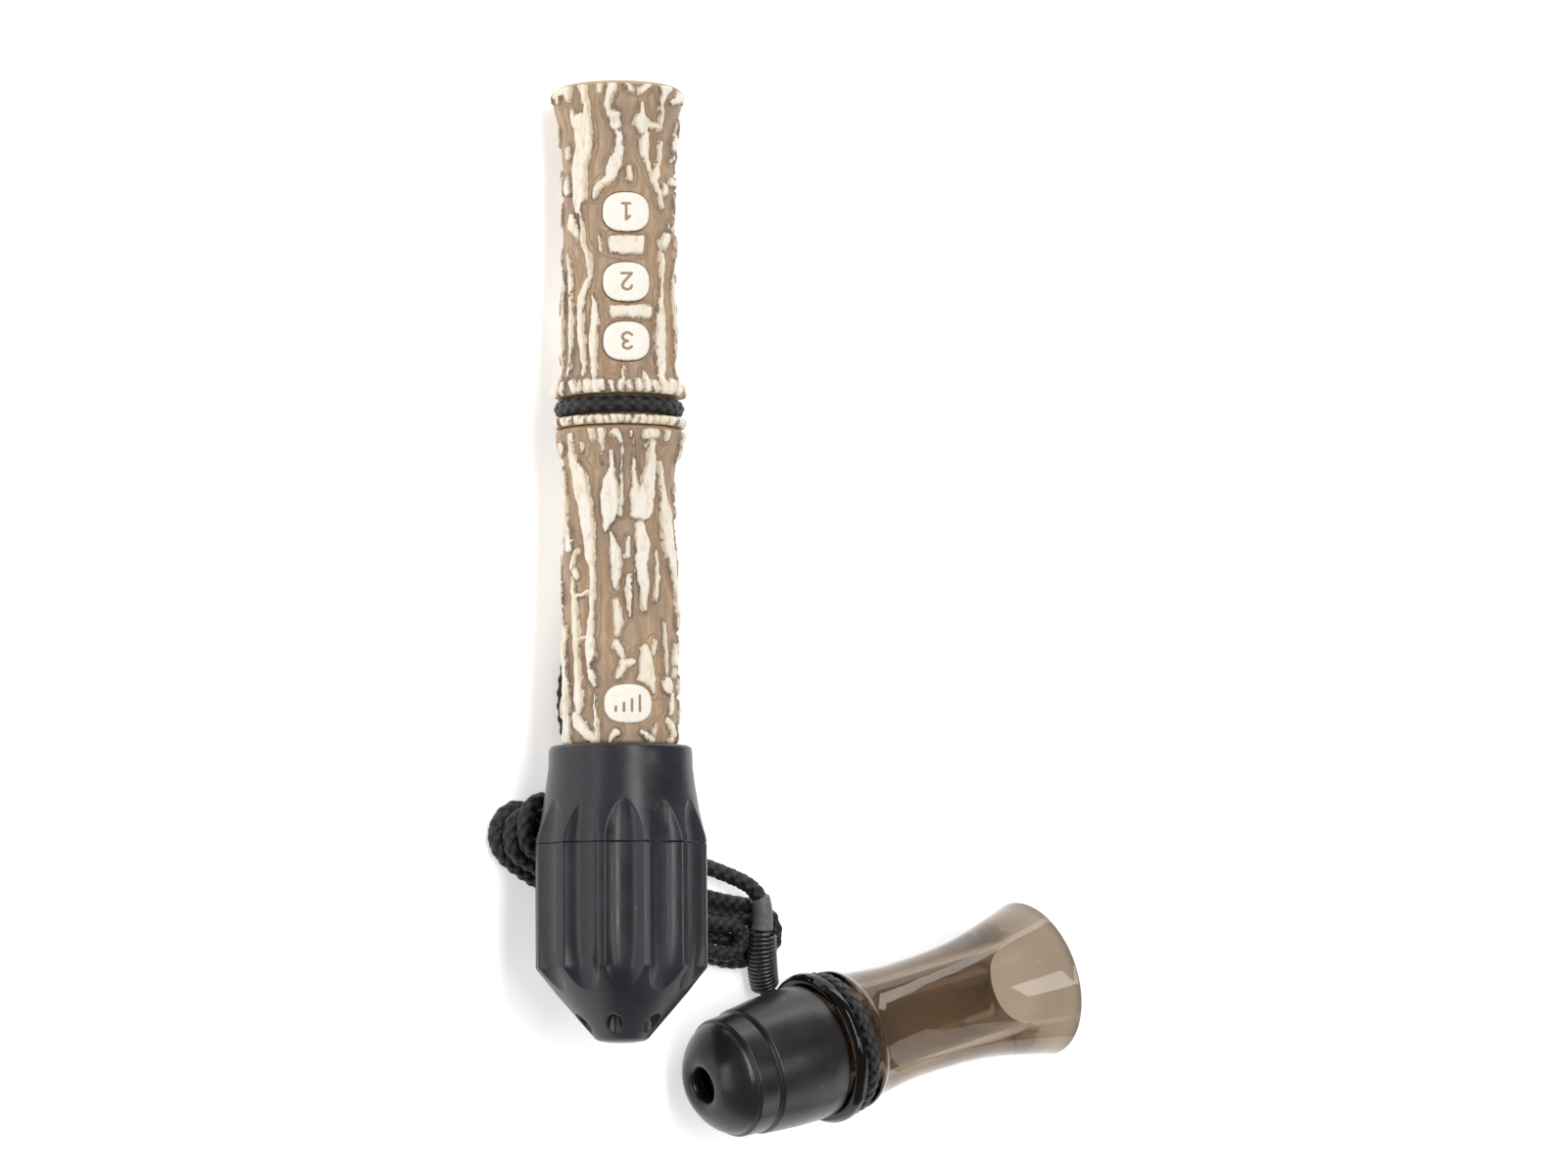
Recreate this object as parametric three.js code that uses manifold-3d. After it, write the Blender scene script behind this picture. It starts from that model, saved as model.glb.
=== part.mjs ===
// Two-call deer call set on one lanyard, lying on a table, millimetres, +Z up.
// Main call: antler-look grunt tube along +X with three tone buttons and a turning rubber volume end.
// Second call: small smoke-coloured bleat horn with a rubber mouthpiece.
import * as THREE from 'three';
import { mergeVertices } from 'three/addons/utils/BufferGeometryUtils.js';
import Module from 'manifold-3d';

const wasm = await Module();
wasm.setup();

// ---------------------------------------------------------------- driving dimensions
const GAP = 0.3;                 // clearance between neighbours
// main call, measured along its own axis from the mouth rim
const MAIN_AT = [-103.078, -52.218, 13.166]; // centre of the mouth rim
const MAIN_TILT = 3.84;          // degrees, volume end higher because it lies on the hank
const MAIN_YAW = -2.396;         // degrees about +Z
const MAIN_ROLL = 26.8;          // degrees from straight up to the button side, towards -Y
const MOUTH_R = 13.25;           // flared mouth rim
const BARREL_R = 11.6;           // antler barrels
const BORE_R = 8.6;              // upper barrel bore
const GROOVE_S = [64.0, 68.4];   // lanyard groove
const GROOVE_R = 9.9;
const COLLAR_R = 13.35;          // rings beside the groove
const SEAM_S = 70.5;             // upper to lower barrel
const SPIGOT_END = 80;
const LOWER_BORE_R = 9.0;
const LOWER_END = 159.5;
const KNOB_S = [135.0, 155.0, 194.8]; // rubber volume end: top edge, seam, tip
const KNOB_R = 17.8;
const TIP_R = 5.2;
const CONE_S = 180.2;
const FLUTES = 12;
const FLUTE_TURN = 6.1;          // degrees from the button side
const VENTS = 6;
const VENT_R = 1.7;
const VENT_S = 190.4;
const VENT_TURN = 18.7;
const BUTTON_S = [27.0, 41.3, 53.4]; // fawn, doe, young buck
const BUTTON_W = 9.7;            // round the barrel
const BUTTON_H = 8.0;            // along the barrel
const BUTTON_TOP_R = 11.9;
const STEM_R = 1.6;
const VOLUME_PAD_S = 127.1;
const REED_X = [1.3, 1.7];       // underside and top of the reed above the bore axis
// second call, measured along its own axis from the flange, mouthpiece negative
const BLEAT_AT = [96.0, -2.76, 16.2];
const BLEAT_TURN = 12.29;        // degrees of its axis from +Y towards -X
const BLEAT_RISE = 0.79;         // degrees, horn rim wider than the flange
const FLANGE_R = 16.2;
const BLEAT_GROOVE_R = 12.2;
const RIM_R = 17.0;
const HORN_END = 57.9;
// lanyard
const CORD_R = 1.6;
const HANK_HALF = 6.9;
const HANK_Z = [0.02, 5.4];
const SLEEVE_R = 1.75;
const SPRING_R = 2.85;
const HANK_END_Z = 3.4;
const SLEEVE_AT = [[64.6, -11.35, 6.6], [71.6, -10.95, 6.5]];
const SPRING_AT = [[71.95, -10.93, 6.5], [83.6, -7.7, 3.3]];
const LOOP_SLEEVE_AT = [[-28.2, -45.14, 1.87], [-17.7, -45.58, 1.87]]; // two strands side by side
const LOOP_SLEEVE = [3.5, 1.85];  // half width, half height

const SEG = 32;
const rad = (d) => (d * Math.PI) / 180;

// ---------------------------------------------------------------- helpers
function solid(geometry) {
  const g = geometry.clone();
  for (const k of Object.keys(g.attributes)) if (k !== 'position') g.deleteAttribute(k);
  const m = mergeVertices(g, 1e-4);
  const index = m.index.array;
  const tris = [];
  for (let i = 0; i < index.length; i += 3) {
    const [a, b, c] = [index[i], index[i + 1], index[i + 2]];
    if (a !== b && b !== c && a !== c) tris.push(a, b, c);
  }
  return new wasm.Manifold(new wasm.Mesh({
    numProp: 3,
    vertProperties: Float32Array.from(m.attributes.position.array),
    triVerts: Uint32Array.from(tris),
  }));
}

function geometryOf(manifold) {
  const mesh = manifold.getMesh();
  const n = mesh.vertProperties.length / mesh.numProp;
  const pos = new Float32Array(n * 3);
  for (let i = 0; i < n; i++) for (let k = 0; k < 3; k++) pos[3 * i + k] = mesh.vertProperties[i * mesh.numProp + k];
  const g = new THREE.BufferGeometry();
  g.setAttribute('position', new THREE.BufferAttribute(pos, 3));
  g.setIndex(Array.from(mesh.triVerts));
  g.computeVertexNormals();
  return g;
}

// solid of revolution about local Z from [radius, z] points
function turned(points, seg = SEG) {
  let area = 0;
  points.forEach(([r, z], i) => {
    const [r2, z2] = points[(i + 1) % points.length];
    area += r * z2 - r2 * z;
  });
  const list = area < 0 ? points.slice().reverse() : points.slice();
  const onAxis = list[0][0] === 0 && list[list.length - 1][0] === 0;
  if (!onAxis) list.push(list[0]);
  const g = new THREE.LatheGeometry(list.map(([r, z]) => new THREE.Vector2(r, z)), seg);
  g.rotateX(Math.PI / 2);
  return solid(g);
}

// ring of round section about local Z
function ring(radius, z, section, seg = 22, sides = 6) {
  const pts = [];
  for (let i = 0; i < sides; i++) {
    const t = (2 * Math.PI * (i + 0.5)) / sides;
    pts.push([radius + section * Math.cos(t), z + section * Math.sin(t)]);
  }
  return turned(pts, seg);
}

// prism of an outline in local (y, z), running along local x from x0 to x1
function prismX(outline, x0, x1) {
  const s = new THREE.Shape(outline.map(([y, z]) => new THREE.Vector2(y, z)));
  const g = new THREE.ExtrudeGeometry(s, { depth: x1 - x0, bevelEnabled: false });
  g.translate(0, 0, x0);
  g.applyMatrix4(new THREE.Matrix4().makeBasis(
    new THREE.Vector3(0, 1, 0), new THREE.Vector3(0, 0, 1), new THREE.Vector3(1, 0, 0)));
  return solid(g);
}

function oval(halfY, halfZ, atZ, n = 22, power = 2.5) {
  const pts = [];
  for (let i = 0; i < n; i++) {
    const t = (2 * Math.PI * i) / n;
    const c = Math.cos(t);
    const s = Math.sin(t);
    pts.push([halfY * Math.sign(c) * Math.abs(c) ** (2 / power), atZ + halfZ * Math.sign(s) * Math.abs(s) ** (2 / power)]);
  }
  return pts;
}

const rect = (y0, y1, z0, z1) => [[y0, z0], [y1, z0], [y1, z1], [y0, z1]];

// box in local coordinates
function box(x0, x1, y0, y1, z0, z1) {
  const g = new THREE.BoxGeometry(x1 - x0, y1 - y0, z1 - z0);
  g.translate((x0 + x1) / 2, (y0 + y1) / 2, (z0 + z1) / 2);
  return solid(g);
}

// round rod along a direction
function rod(from, to, r, sides = 16) {
  const a = new THREE.Vector3(...from);
  const b = new THREE.Vector3(...to);
  const d = b.clone().sub(a);
  const g = new THREE.CylinderGeometry(r, r, d.length(), sides);
  const m = new THREE.Matrix4().makeRotationFromQuaternion(
    new THREE.Quaternion().setFromUnitVectors(new THREE.Vector3(0, 1, 0), d.clone().normalize()));
  g.applyMatrix4(m);
  const c = a.add(b).multiplyScalar(0.5);
  g.translate(c.x, c.y, c.z);
  return solid(g);
}

// round tube solid along a smooth path
function tube(points, r, steps, sides = 8) {
  const path = new THREE.CatmullRomCurve3(points.map((p) => new THREE.Vector3(...p)), false, 'centripetal');
  const shape = new THREE.Shape();
  for (let i = 0; i < sides; i++) {
    const t = (2 * Math.PI * (i + 0.5)) / sides;
    const [x, y] = [r * Math.cos(t), r * Math.sin(t)];
    if (i) shape.lineTo(x, y); else shape.moveTo(x, y);
  }
  return solid(new THREE.ExtrudeGeometry(shape, { steps, extrudePath: path, bevelEnabled: false, curveSegments: 1 }));
}

// hollow round tube along a straight line
function sleeve(from, to, r, wall, sides = 16) {
  const d = new THREE.Vector3(...to).sub(new THREE.Vector3(...from)).normalize();
  const over = d.clone().multiplyScalar(2);
  const inner = rod(
    new THREE.Vector3(...from).sub(over).toArray(),
    new THREE.Vector3(...to).add(over).toArray(), r - wall, sides);
  return rod(from, to, r, sides).subtract(inner);
}

// ---------------------------------------------------------------- materials
const look = {
  antler: [0xb9a583, 0.62, 0],
  button: [0xc8b896, 0.55, 0],
  rubber: [0x3a3b3d, 0.55, 0],
  mouthRubber: [0x2c2d2f, 0.38, 0],
  smoke: [0x7d6a5b, 0.12, 0],
  board: [0x26272a, 0.45, 0],
  reed: [0xd9d3c2, 0.3, 0],
  wedge: [0x9a7b55, 0.8, 0],
  seal: [0x1a1a1b, 0.6, 0],
  silicone: [0x6e6a62, 0.7, 0],
  cord: [0x17181a, 0.85, 0],
  sleeve: [0x4a4d4f, 0.5, 0],
  spring: [0x232426, 0.35, 0.9],
  tie: [0x151516, 0.6, 0],
};

function node(parent, name, manifold, kind) {
  const [color, roughness, metalness] = look[kind];
  const mesh = new THREE.Mesh(geometryOf(manifold), new THREE.MeshStandardMaterial({ color, roughness, metalness }));
  mesh.name = name;
  parent.add(mesh);
  return mesh;
}

const root = new THREE.Group();
root.name = 'deer_call_set';

// ---------------------------------------------------------------- main call
const main = new THREE.Group();
main.name = 'main_call';
{
  const axis = new THREE.Vector3(
    Math.cos(rad(MAIN_TILT)) * Math.cos(rad(MAIN_YAW)),
    Math.cos(rad(MAIN_TILT)) * Math.sin(rad(MAIN_YAW)),
    Math.sin(rad(MAIN_TILT)));
  const up = new THREE.Vector3(0, -Math.sin(rad(MAIN_ROLL)), Math.cos(rad(MAIN_ROLL)));
  const face = up.clone().addScaledVector(axis, -up.dot(axis)).normalize();
  const side = axis.clone().cross(face);
  main.applyMatrix4(new THREE.Matrix4().makeBasis(face, side, axis).setPosition(...MAIN_AT));
}
root.add(main);

// upper barrel: flared mouth, antler tube, lanyard groove between two rings, spigot
let mouthBarrel = turned([
  [BORE_R, 0], [12.3, 0], [13.0, 0.6], [MOUTH_R, 1.8], [MOUTH_R, 4.4], [12.6, 6.6], [11.9, 9.0], [BARREL_R, 13],
  [BARREL_R, 58.3], [12.3, 60.2], [13.2, 61.4], [13.2, GROOVE_S[0]], [GROOVE_R, GROOVE_S[0]], [GROOVE_R, GROOVE_S[1]],
  [COLLAR_R, GROOVE_S[1]], [COLLAR_R, SEAM_S - 0.15], [10.0, SEAM_S - 0.15],
  [10.0, 74.9], [9.1, 74.9], [9.1, 76.9], [10.0, 76.9], [10.0, SPIGOT_END], [BORE_R, SPIGOT_END],
]);
for (const s of BUTTON_S) {
  mouthBarrel = mouthBarrel.subtract(prismX(oval(BUTTON_W / 2 + GAP, BUTTON_H / 2 + GAP, s), 5, 16));
}
// seat of the button membrane inside the barrel
const sector = (halfDeg, z0, z1) => {
  const s = new THREE.Shape([
    new THREE.Vector2(0, 0),
    new THREE.Vector2(20, -20 * Math.tan(rad(halfDeg))),
    new THREE.Vector2(20, 20 * Math.tan(rad(halfDeg))),
  ]);
  const g = new THREE.ExtrudeGeometry(s, { depth: z1 - z0, bevelEnabled: false });
  g.translate(0, 0, z0);
  return solid(g);
};
mouthBarrel = mouthBarrel.subtract(
  turned([[7, 18.6], [9.6, 18.6], [9.6, 60.6], [7, 60.6]]).intersect(sector(42, 18, 61)));
node(main, 'mouth_barrel', mouthBarrel, 'antler');

// membrane that seals the three windows and pushes the buttons back out
let membrane = turned([[8.75, 19], [9.3, 19], [9.3, 60.2], [8.75, 60.2]]).intersect(sector(39.5, 18, 61));
for (const s of BUTTON_S) membrane = membrane.subtract(rod([2, 0, s], [12, 0, s], STEM_R + GAP, 10));
node(main, 'button_membrane', membrane, 'silicone');

// three tone buttons, each a curved oval pad with a stem that ends over the reed
['fawn_button', 'doe_button', 'young_buck_button'].forEach((name, i) => {
  const s = BUTTON_S[i];
  const pad = prismX(oval(BUTTON_W / 2, BUTTON_H / 2, s), 9.75, 16)
    .intersect(turned([[0, s - 8], [BUTTON_TOP_R, s - 8], [BUTTON_TOP_R, s + 8], [0, s + 8]], 48));
  node(main, name, pad.add(rod([REED_X[1] + 0.4, 0, s], [10.2, 0, s], STEM_R, 10)), 'button');
});

// reed board: plug with the reed slot and a long trough under the reed
let board = turned([
  [0, 60.8], [8.25, 60.8], [8.25, 65.8], [7.0, 65.8], [7.0, 68.2], [8.25, 68.2], [8.25, 72], [0, 72],
]);
// lay of the table: it falls away from the reed towards the mouth
const underLay = (() => {
  const s = new THREE.Shape([
    new THREE.Vector2(19, -9), new THREE.Vector2(61, -9), new THREE.Vector2(61, 1.0), new THREE.Vector2(19, -0.45),
  ]);
  const g = new THREE.ExtrudeGeometry(s, { depth: 18, bevelEnabled: false });
  g.translate(0, 0, -9);
  // outline (s, height) to local (z, x), thickness to y
  g.applyMatrix4(new THREE.Matrix4().makeBasis(
    new THREE.Vector3(0, 0, 1), new THREE.Vector3(1, 0, 0), new THREE.Vector3(0, 1, 0)));
  return solid(g);
})();
const trough = turned([[0, 20], [6.6, 20], [7.2, 21], [7.2, 60.9], [0, 60.9]], 24).intersect(underLay);
board = board.add(trough)
  .subtract(box(-4.6, 0.9, -2.6, 2.6, 24, 73))
  .subtract(box(-4.6, 4, -2.6, 2.6, 24, 60.8))
  .subtract(box(1.0, 3.6, -4.8, 4.8, 60.7, 70));
node(main, 'tone_board', board, 'board');
node(main, 'reed', box(REED_X[0], REED_X[1], -4.5, 4.5, 21.5, 69.5), 'reed');
node(main, 'reed_wedge', box(2.0, 3.3, -4.4, 4.4, 60.9, 69.6), 'wedge');
node(main, 'tone_board_seal', ring(7.8, 67.0, 0.5), 'seal');
node(main, 'barrel_seal', ring(9.72, 75.9, 0.33), 'seal');

// lower barrel: flange at the seam, antler tube with a raised volume pad, smooth neck and flange inside the volume end
let lowerBarrel = turned([
  [10.35, SEAM_S + 0.15], [13.2, SEAM_S + 0.15], [13.35, 71.2], [13.0, 72.6], [12.3, 74.8], [11.8, 77.0], [BARREL_R, 80],
  [BARREL_R, 133.4], [11.3, 134.4], [11.3, 143.9], [10.1, 143.9], [10.1, 146.3], [11.3, 146.3],
  [11.3, 153.5], [13.6, 153.5], [13.6, 156.3], [11.3, 156.3], [11.3, LOWER_END], [LOWER_BORE_R, LOWER_END],
  [LOWER_BORE_R, 82], [10.35, 80.7],
]);
lowerBarrel = lowerBarrel.add(
  prismX(oval(5.0, 3.95, VOLUME_PAD_S), 9.6, 16)
    .intersect(turned([[0, 118], [BUTTON_TOP_R, 118], [BUTTON_TOP_R, 133], [0, 133]], 48)));
node(main, 'lower_barrel', lowerBarrel, 'antler');
node(main, 'volume_friction_ring', ring(10.95, 145.1, 0.5), 'seal');

// rubber volume end: collar and fluted bell, joined at the seam, turning on the barrel flange
const cone = (s, off) => KNOB_R - ((KNOB_R - TIP_R) / (KNOB_S[2] - CONE_S)) * (s - CONE_S) - off / 0.755;
let collar = turned([
  [11.7, KNOB_S[0]], [13.9, KNOB_S[0]], [14.6, KNOB_S[0] + 0.7], [14.6, 139.5], [15.3, 144], [16.0, 148], [16.9, 151.3],
  [17.6, 153.6], [17.75, KNOB_S[1] - 0.15], [14.0, KNOB_S[1] - 0.15], [14.0, 153.1], [11.7, 153.1],
], 36);
let bell = turned([
  [0, KNOB_S[2]], [TIP_R, KNOB_S[2]], [KNOB_R, CONE_S], [KNOB_R, KNOB_S[1] + 0.15], [14.0, KNOB_S[1] + 0.15], [14.0, 156.7],
  [11.7, 156.7], [11.7, 158.6], [14.6, 160.6], [14.6, 180.53], [cone(193.1, 2.2), 193.1], [0, 193.1],
], 36);
for (let i = 0; i < FLUTES; i++) {
  const t = rad(FLUTE_TURN + (360 / FLUTES) * i);
  const [x, y] = [24.0 * Math.cos(t), 24.0 * Math.sin(t)];
  const cutter = rod([x, y, 140], [x, y, 200], 7.7, 24);
  collar = collar.subtract(cutter);
  bell = bell.subtract(cutter);
}
// tone chamber inside the volume end, fixed in the lower barrel, with a port behind each vent
let chamber = turned([
  [0, 192.6], [cone(192.6, 2.6), 192.6], [14.2, 180.4], [14.2, 162.6], [11.2, 160.2], [8.7, 159.9], [8.7, 149], [7.4, 149],
  [7.4, 161.2], [10.4, 161.6], [12.7, 163.4], [12.7, 179.8], [cone(191.2, 4.1), 191.2], [0, 191.2],
], 28);
for (let i = 0; i < VENTS; i++) {
  const t = rad(VENT_TURN + (360 / VENTS) * i);
  const r = cone(VENT_S, 0);
  const dir = [0.755 * Math.cos(t), 0.755 * Math.sin(t), 0.656];
  const at = [r * Math.cos(t), r * Math.sin(t), VENT_S];
  const hole = rod(at.map((v, k) => v + 2 * dir[k]), at.map((v, k) => v - 6 * dir[k]), VENT_R, 10);
  bell = bell.subtract(hole);
  chamber = chamber.subtract(hole);
}
node(main, 'volume_collar', collar, 'rubber');
node(main, 'volume_bell', bell, 'rubber');
node(main, 'tone_chamber', chamber, 'board');

// ---------------------------------------------------------------- second call
const bleat = new THREE.Group();
bleat.name = 'bleat_call';
{
  const axis = new THREE.Vector3(
    -Math.sin(rad(BLEAT_TURN)) * Math.cos(rad(BLEAT_RISE)),
    Math.cos(rad(BLEAT_TURN)) * Math.cos(rad(BLEAT_RISE)),
    Math.sin(rad(BLEAT_RISE)));
  const up = new THREE.Vector3(0, 0, 1).addScaledVector(axis, -axis.z).normalize();
  bleat.applyMatrix4(new THREE.Matrix4().makeBasis(up, axis.clone().cross(up), axis).setPosition(...BLEAT_AT));
}
root.add(bleat);

// smoke horn: spigot, flange, lanyard groove, waisted barrel, flared mouth
node(bleat, 'bleat_horn', turned([
  [8.2, -17], [10.5, -17], [10.5, -2.2], [15.3, -2.2], [FLANGE_R, -0.8], [FLANGE_R, 0.5], [BLEAT_GROOVE_R, 0.5], [BLEAT_GROOVE_R, 5.7],
  [15.0, 5.7], [15.0, 6.5], [14.3, 7.5], [13.6, 10], [12.9, 15], [12.35, 21], [12.3, 27], [12.5, 34], [13.0, 40],
  [13.9, 45.5], [15.1, 50.5], [16.3, 55.5], [RIM_R, HORN_END], [16.2, HORN_END], [14.9, 54.8], [13.0, 51.6],
  [10.8, 48.6], [9.3, 46], [8.8, 43], [8.8, 3.2], [8.2, 2.6],
]), 'smoke');

// rubber mouthpiece: domed lip with the blowing hole, stepped body, sleeve over the spigot
node(bleat, 'bleat_mouthpiece', turned([
  [3.9, -29.4], [4.3, -30.5], [5.3, -31.2], [6.5, -31.0], [7.8, -30.2], [9.3, -29.0], [10.7, -27.5], [11.6, -26.1],
  [11.9, -25.2], [12.6, -24.7], [12.9, -20.2], [12.6, -19.9], [13.5, -19.3], [14.5, -12], [15.2, -4.5], [15.2, -2.5],
  [10.8, -2.5], [10.8, -17.4], [9.0, -17.4], [9.0, -26.4], [8.2, -27.2], [3.9, -27.8],
]), 'mouthRubber');

let bleatBoard = turned([
  [0, -12], [7.9, -12], [7.9, -5.2], [6.7, -5.2], [6.7, -2.8], [7.9, -2.8], [7.9, 2], [0, 2],
], 24).add(
  turned([[0, -26], [6.0, -26], [6.4, -25], [6.4, -11.9], [0, -11.9]], 22).subtract(box(0.6, 8, -9, 9, -27, -11.9)));
bleatBoard = bleatBoard
  .subtract(box(-3.6, 0.5, -2.1, 2.1, -23, 3))
  .subtract(box(-3.6, 2, -2.1, 2.1, -23, -12))
  .subtract(box(0.6, 3.0, -3.9, 3.9, -12.1, -1));
node(bleat, 'bleat_tone_board', bleatBoard, 'board');
node(bleat, 'bleat_reed', box(0.9, 1.25, -3.5, 3.5, -25.4, -1.5), 'reed');
node(bleat, 'bleat_reed_wedge', box(1.55, 2.7, -3.5, 3.5, -11.8, -1.4), 'wedge');
node(bleat, 'bleat_seal', ring(7.45, -4.0, 0.45), 'seal');

// ---------------------------------------------------------------- lanyard
// cord loop in the main call's groove
node(main, 'main_loop', ring(GROOVE_R + GAP + CORD_R, (GROOVE_S[0] + GROOVE_S[1]) / 2, CORD_R, 26, 8), 'cord');
// cord loop in the second call's groove
node(bleat, 'bleat_loop', ring(BLEAT_GROOVE_R + GAP + CORD_R - 0.1, 3.2, CORD_R, 26, 8), 'cord');

// shrink sleeve that closes the main call's loop, on the table behind the groove: an oval tube over two strands
{
  const [a, b] = LOOP_SLEEVE_AT.map((v) => new THREE.Vector3(...v));
  const [wide, high] = LOOP_SLEEVE;
  const wall = 0.25;
  const outline = new THREE.Shape();
  outline.absellipse(0, 0, wide, high, 0, 2 * Math.PI);
  const hole = new THREE.Path();
  hole.absellipse(0, 0, wide - wall, high - wall, 0, 2 * Math.PI);
  outline.holes.push(hole);
  const g = new THREE.ExtrudeGeometry(outline, { depth: a.distanceTo(b), bevelEnabled: false, curveSegments: 12 });
  const along = b.clone().sub(a).normalize();
  const across = new THREE.Vector3(0, 0, 1).cross(along).normalize();
  g.applyMatrix4(new THREE.Matrix4().makeBasis(across, along.clone().cross(across), along).setPosition(a));
  node(root, 'main_shrink_sleeve', solid(g), 'sleeve');
}
// lead from the sleeve under the barrel to the hank, over the drop
node(root, 'lanyard_lead', tube([
  [-17.3, -47.25, 1.75], [-10, -48.6, 1.75], [-2, -50.6, 1.75], [6, -53.4, 1.75], [13, -56.0, 1.75], [20, -57.5, 1.75],
  [27, -57.4, 1.75], [33, -55.4, 1.75], [38, -52.2, 2.2], [43.6, -48.2, 4.2], [48.2, -45.4, 5.35], [50.6, -43.9, 5.0],
], CORD_R, 24), 'cord');

// hank: outline with round ends round a bent centre line
const hankLine = new THREE.CatmullRomCurve3([
  [48.6, -72.4], [50.6, -68.9], [54.1, -62.2], [60.3, -50.0], [65.4, -37.6], [69.25, -25.0], [71.9, -14.8], [72.7, -8.2],
].map(([x, y]) => new THREE.Vector3(x, y, 0)), false, 'centripetal');
const hankOutline = (half) => {
  const n = 14;
  const left = [];
  const right = [];
  const at = (t) => hankLine.getPointAt(t);
  const tan = (t) => hankLine.getTangentAt(t);
  for (let i = 0; i <= n; i++) {
    const p = at(i / n);
    const d = tan(i / n);
    left.push([p.x - d.y * half, p.y + d.x * half]);
    right.push([p.x + d.y * half, p.y - d.x * half]);
  }
  const arc = (t, sign) => {
    const p = at(t);
    const d = tan(t);
    const out = [];
    for (let i = 1; i < 8; i++) {
      const a = (Math.PI * i) / 8;
      const [c, s] = [Math.cos(a), Math.sin(a)];
      // from the right side round the end to the left side, or back
      out.push([p.x + sign * (d.y * half * c) + sign * (d.x * half * s), p.y + sign * (-d.x * half * c) + sign * (d.y * half * s)]);
    }
    return out;
  };
  return [...right, ...arc(1, 1), ...left.reverse(), ...arc(0, -1)];
};
const slab = (outline, z0, z1) => {
  const g = new THREE.ExtrudeGeometry(new THREE.Shape(outline.map(([x, y]) => new THREE.Vector2(x, y))), { depth: z1 - z0, bevelEnabled: false });
  g.translate(0, 0, z0);
  return solid(g);
};
const tieAt = hankLine.getPointAt(0.47);
const tieDir = hankLine.getTangentAt(0.47);
const tieBox = (halfLong, halfWide, z0, z1) => {
  const g = new THREE.BoxGeometry(2 * halfLong, 2 * halfWide, z1 - z0);
  g.translate(0, 0, (z0 + z1) / 2);
  g.applyMatrix4(new THREE.Matrix4().makeBasis(
    new THREE.Vector3(tieDir.x, tieDir.y, 0), new THREE.Vector3(-tieDir.y, tieDir.x, 0), new THREE.Vector3(0, 0, 1),
  ).setPosition(tieAt.x, tieAt.y, 0));
  return solid(g);
};
let hank = slab(hankOutline(HANK_HALF), HANK_Z[0], HANK_Z[1]);
hank = hank.subtract(tieBox(2.3, 12, -1, 9).subtract(tieBox(3, HANK_HALF - 0.9, 0.9, HANK_Z[1] - 0.9)));
// one layer thick at the end that the sleeve and spring cross, and pressed down under the spring
const endAt = hankLine.getPointAt(0.74);
const endDir = hankLine.getTangentAt(0.74);
const endBox = new THREE.BoxGeometry(60, 40, 10);
endBox.translate(30, 0, 5 + HANK_END_Z);
endBox.applyMatrix4(new THREE.Matrix4().makeBasis(
  new THREE.Vector3(endDir.x, endDir.y, 0), new THREE.Vector3(-endDir.y, endDir.x, 0), new THREE.Vector3(0, 0, 1),
).setPosition(endAt.x, endAt.y, 0));
hank = hank.subtract(solid(endBox)).subtract(rod(SPRING_AT[0], SPRING_AT[1], SPRING_R + GAP, 16));
node(root, 'lanyard_hank', hank, 'cord');
node(root, 'hank_tie', tieBox(2.0, HANK_HALF, 0.02, HANK_Z[1]).subtract(tieBox(3, HANK_HALF - 0.6, 0.6, HANK_Z[1] - 0.6)), 'tie');

// drop: single strand beside the hank that climbs over its end into the sleeve
node(root, 'call_drop', tube([
  [45.6, -57.0, 1.65], [47.6, -51.4, 1.65], [49.4, -45.8, 1.65], [52.6, -37.6, 1.65], [55.8, -28.4, 1.65], [58.1, -21.3, 1.75],
  [60.0, -17.3, 3.2], [61.8, -13.9, 5.3], [63.0, -12.1, 6.3],
], CORD_R, 14), 'cord');
// sleeve and cinch spring that close the second call's loop
node(root, 'call_shrink_sleeve', sleeve(SLEEVE_AT[0], SLEEVE_AT[1], SLEEVE_R, 0.25, 12), 'sleeve');
node(root, 'cinch_spring', sleeve(SPRING_AT[0], SPRING_AT[1], SPRING_R, 0.75, 16), 'spring');
// leg of the second call's loop from the spring to the groove
node(root, 'bleat_loop_leg', tube([
  [85.6, -7.0, 2.6], [84.9, -4.6, 1.9], [84.2, -1.6, 1.75], [85.5, 1.2, 1.75],
], CORD_R, 6), 'cord');

// ---------------------------------------------------------------- origin under the middle of the two calls
const cordNames = new Set(['main_loop', 'bleat_loop', 'main_shrink_sleeve', 'lanyard_lead', 'lanyard_hank', 'hank_tie',
  'call_drop', 'call_shrink_sleeve', 'cinch_spring', 'bleat_loop_leg']);
root.updateMatrixWorld(true);
const bounds = new THREE.Box3();
root.traverse((o) => {
  if (o.isMesh && !cordNames.has(o.name)) {
    const p = o.geometry.attributes.position;
    const v = new THREE.Vector3();
    for (let i = 0; i < p.count; i++) bounds.expandByPoint(v.fromBufferAttribute(p, i).applyMatrix4(o.matrixWorld));
  }
});
root.position.set(-(bounds.min.x + bounds.max.x) / 2, -(bounds.min.y + bounds.max.y) / 2, -bounds.min.z);
root.updateMatrixWorld(true);

export default root;
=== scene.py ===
import math

import bmesh
import bpy
import numpy as np
from mathutils import Matrix, Vector


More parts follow.
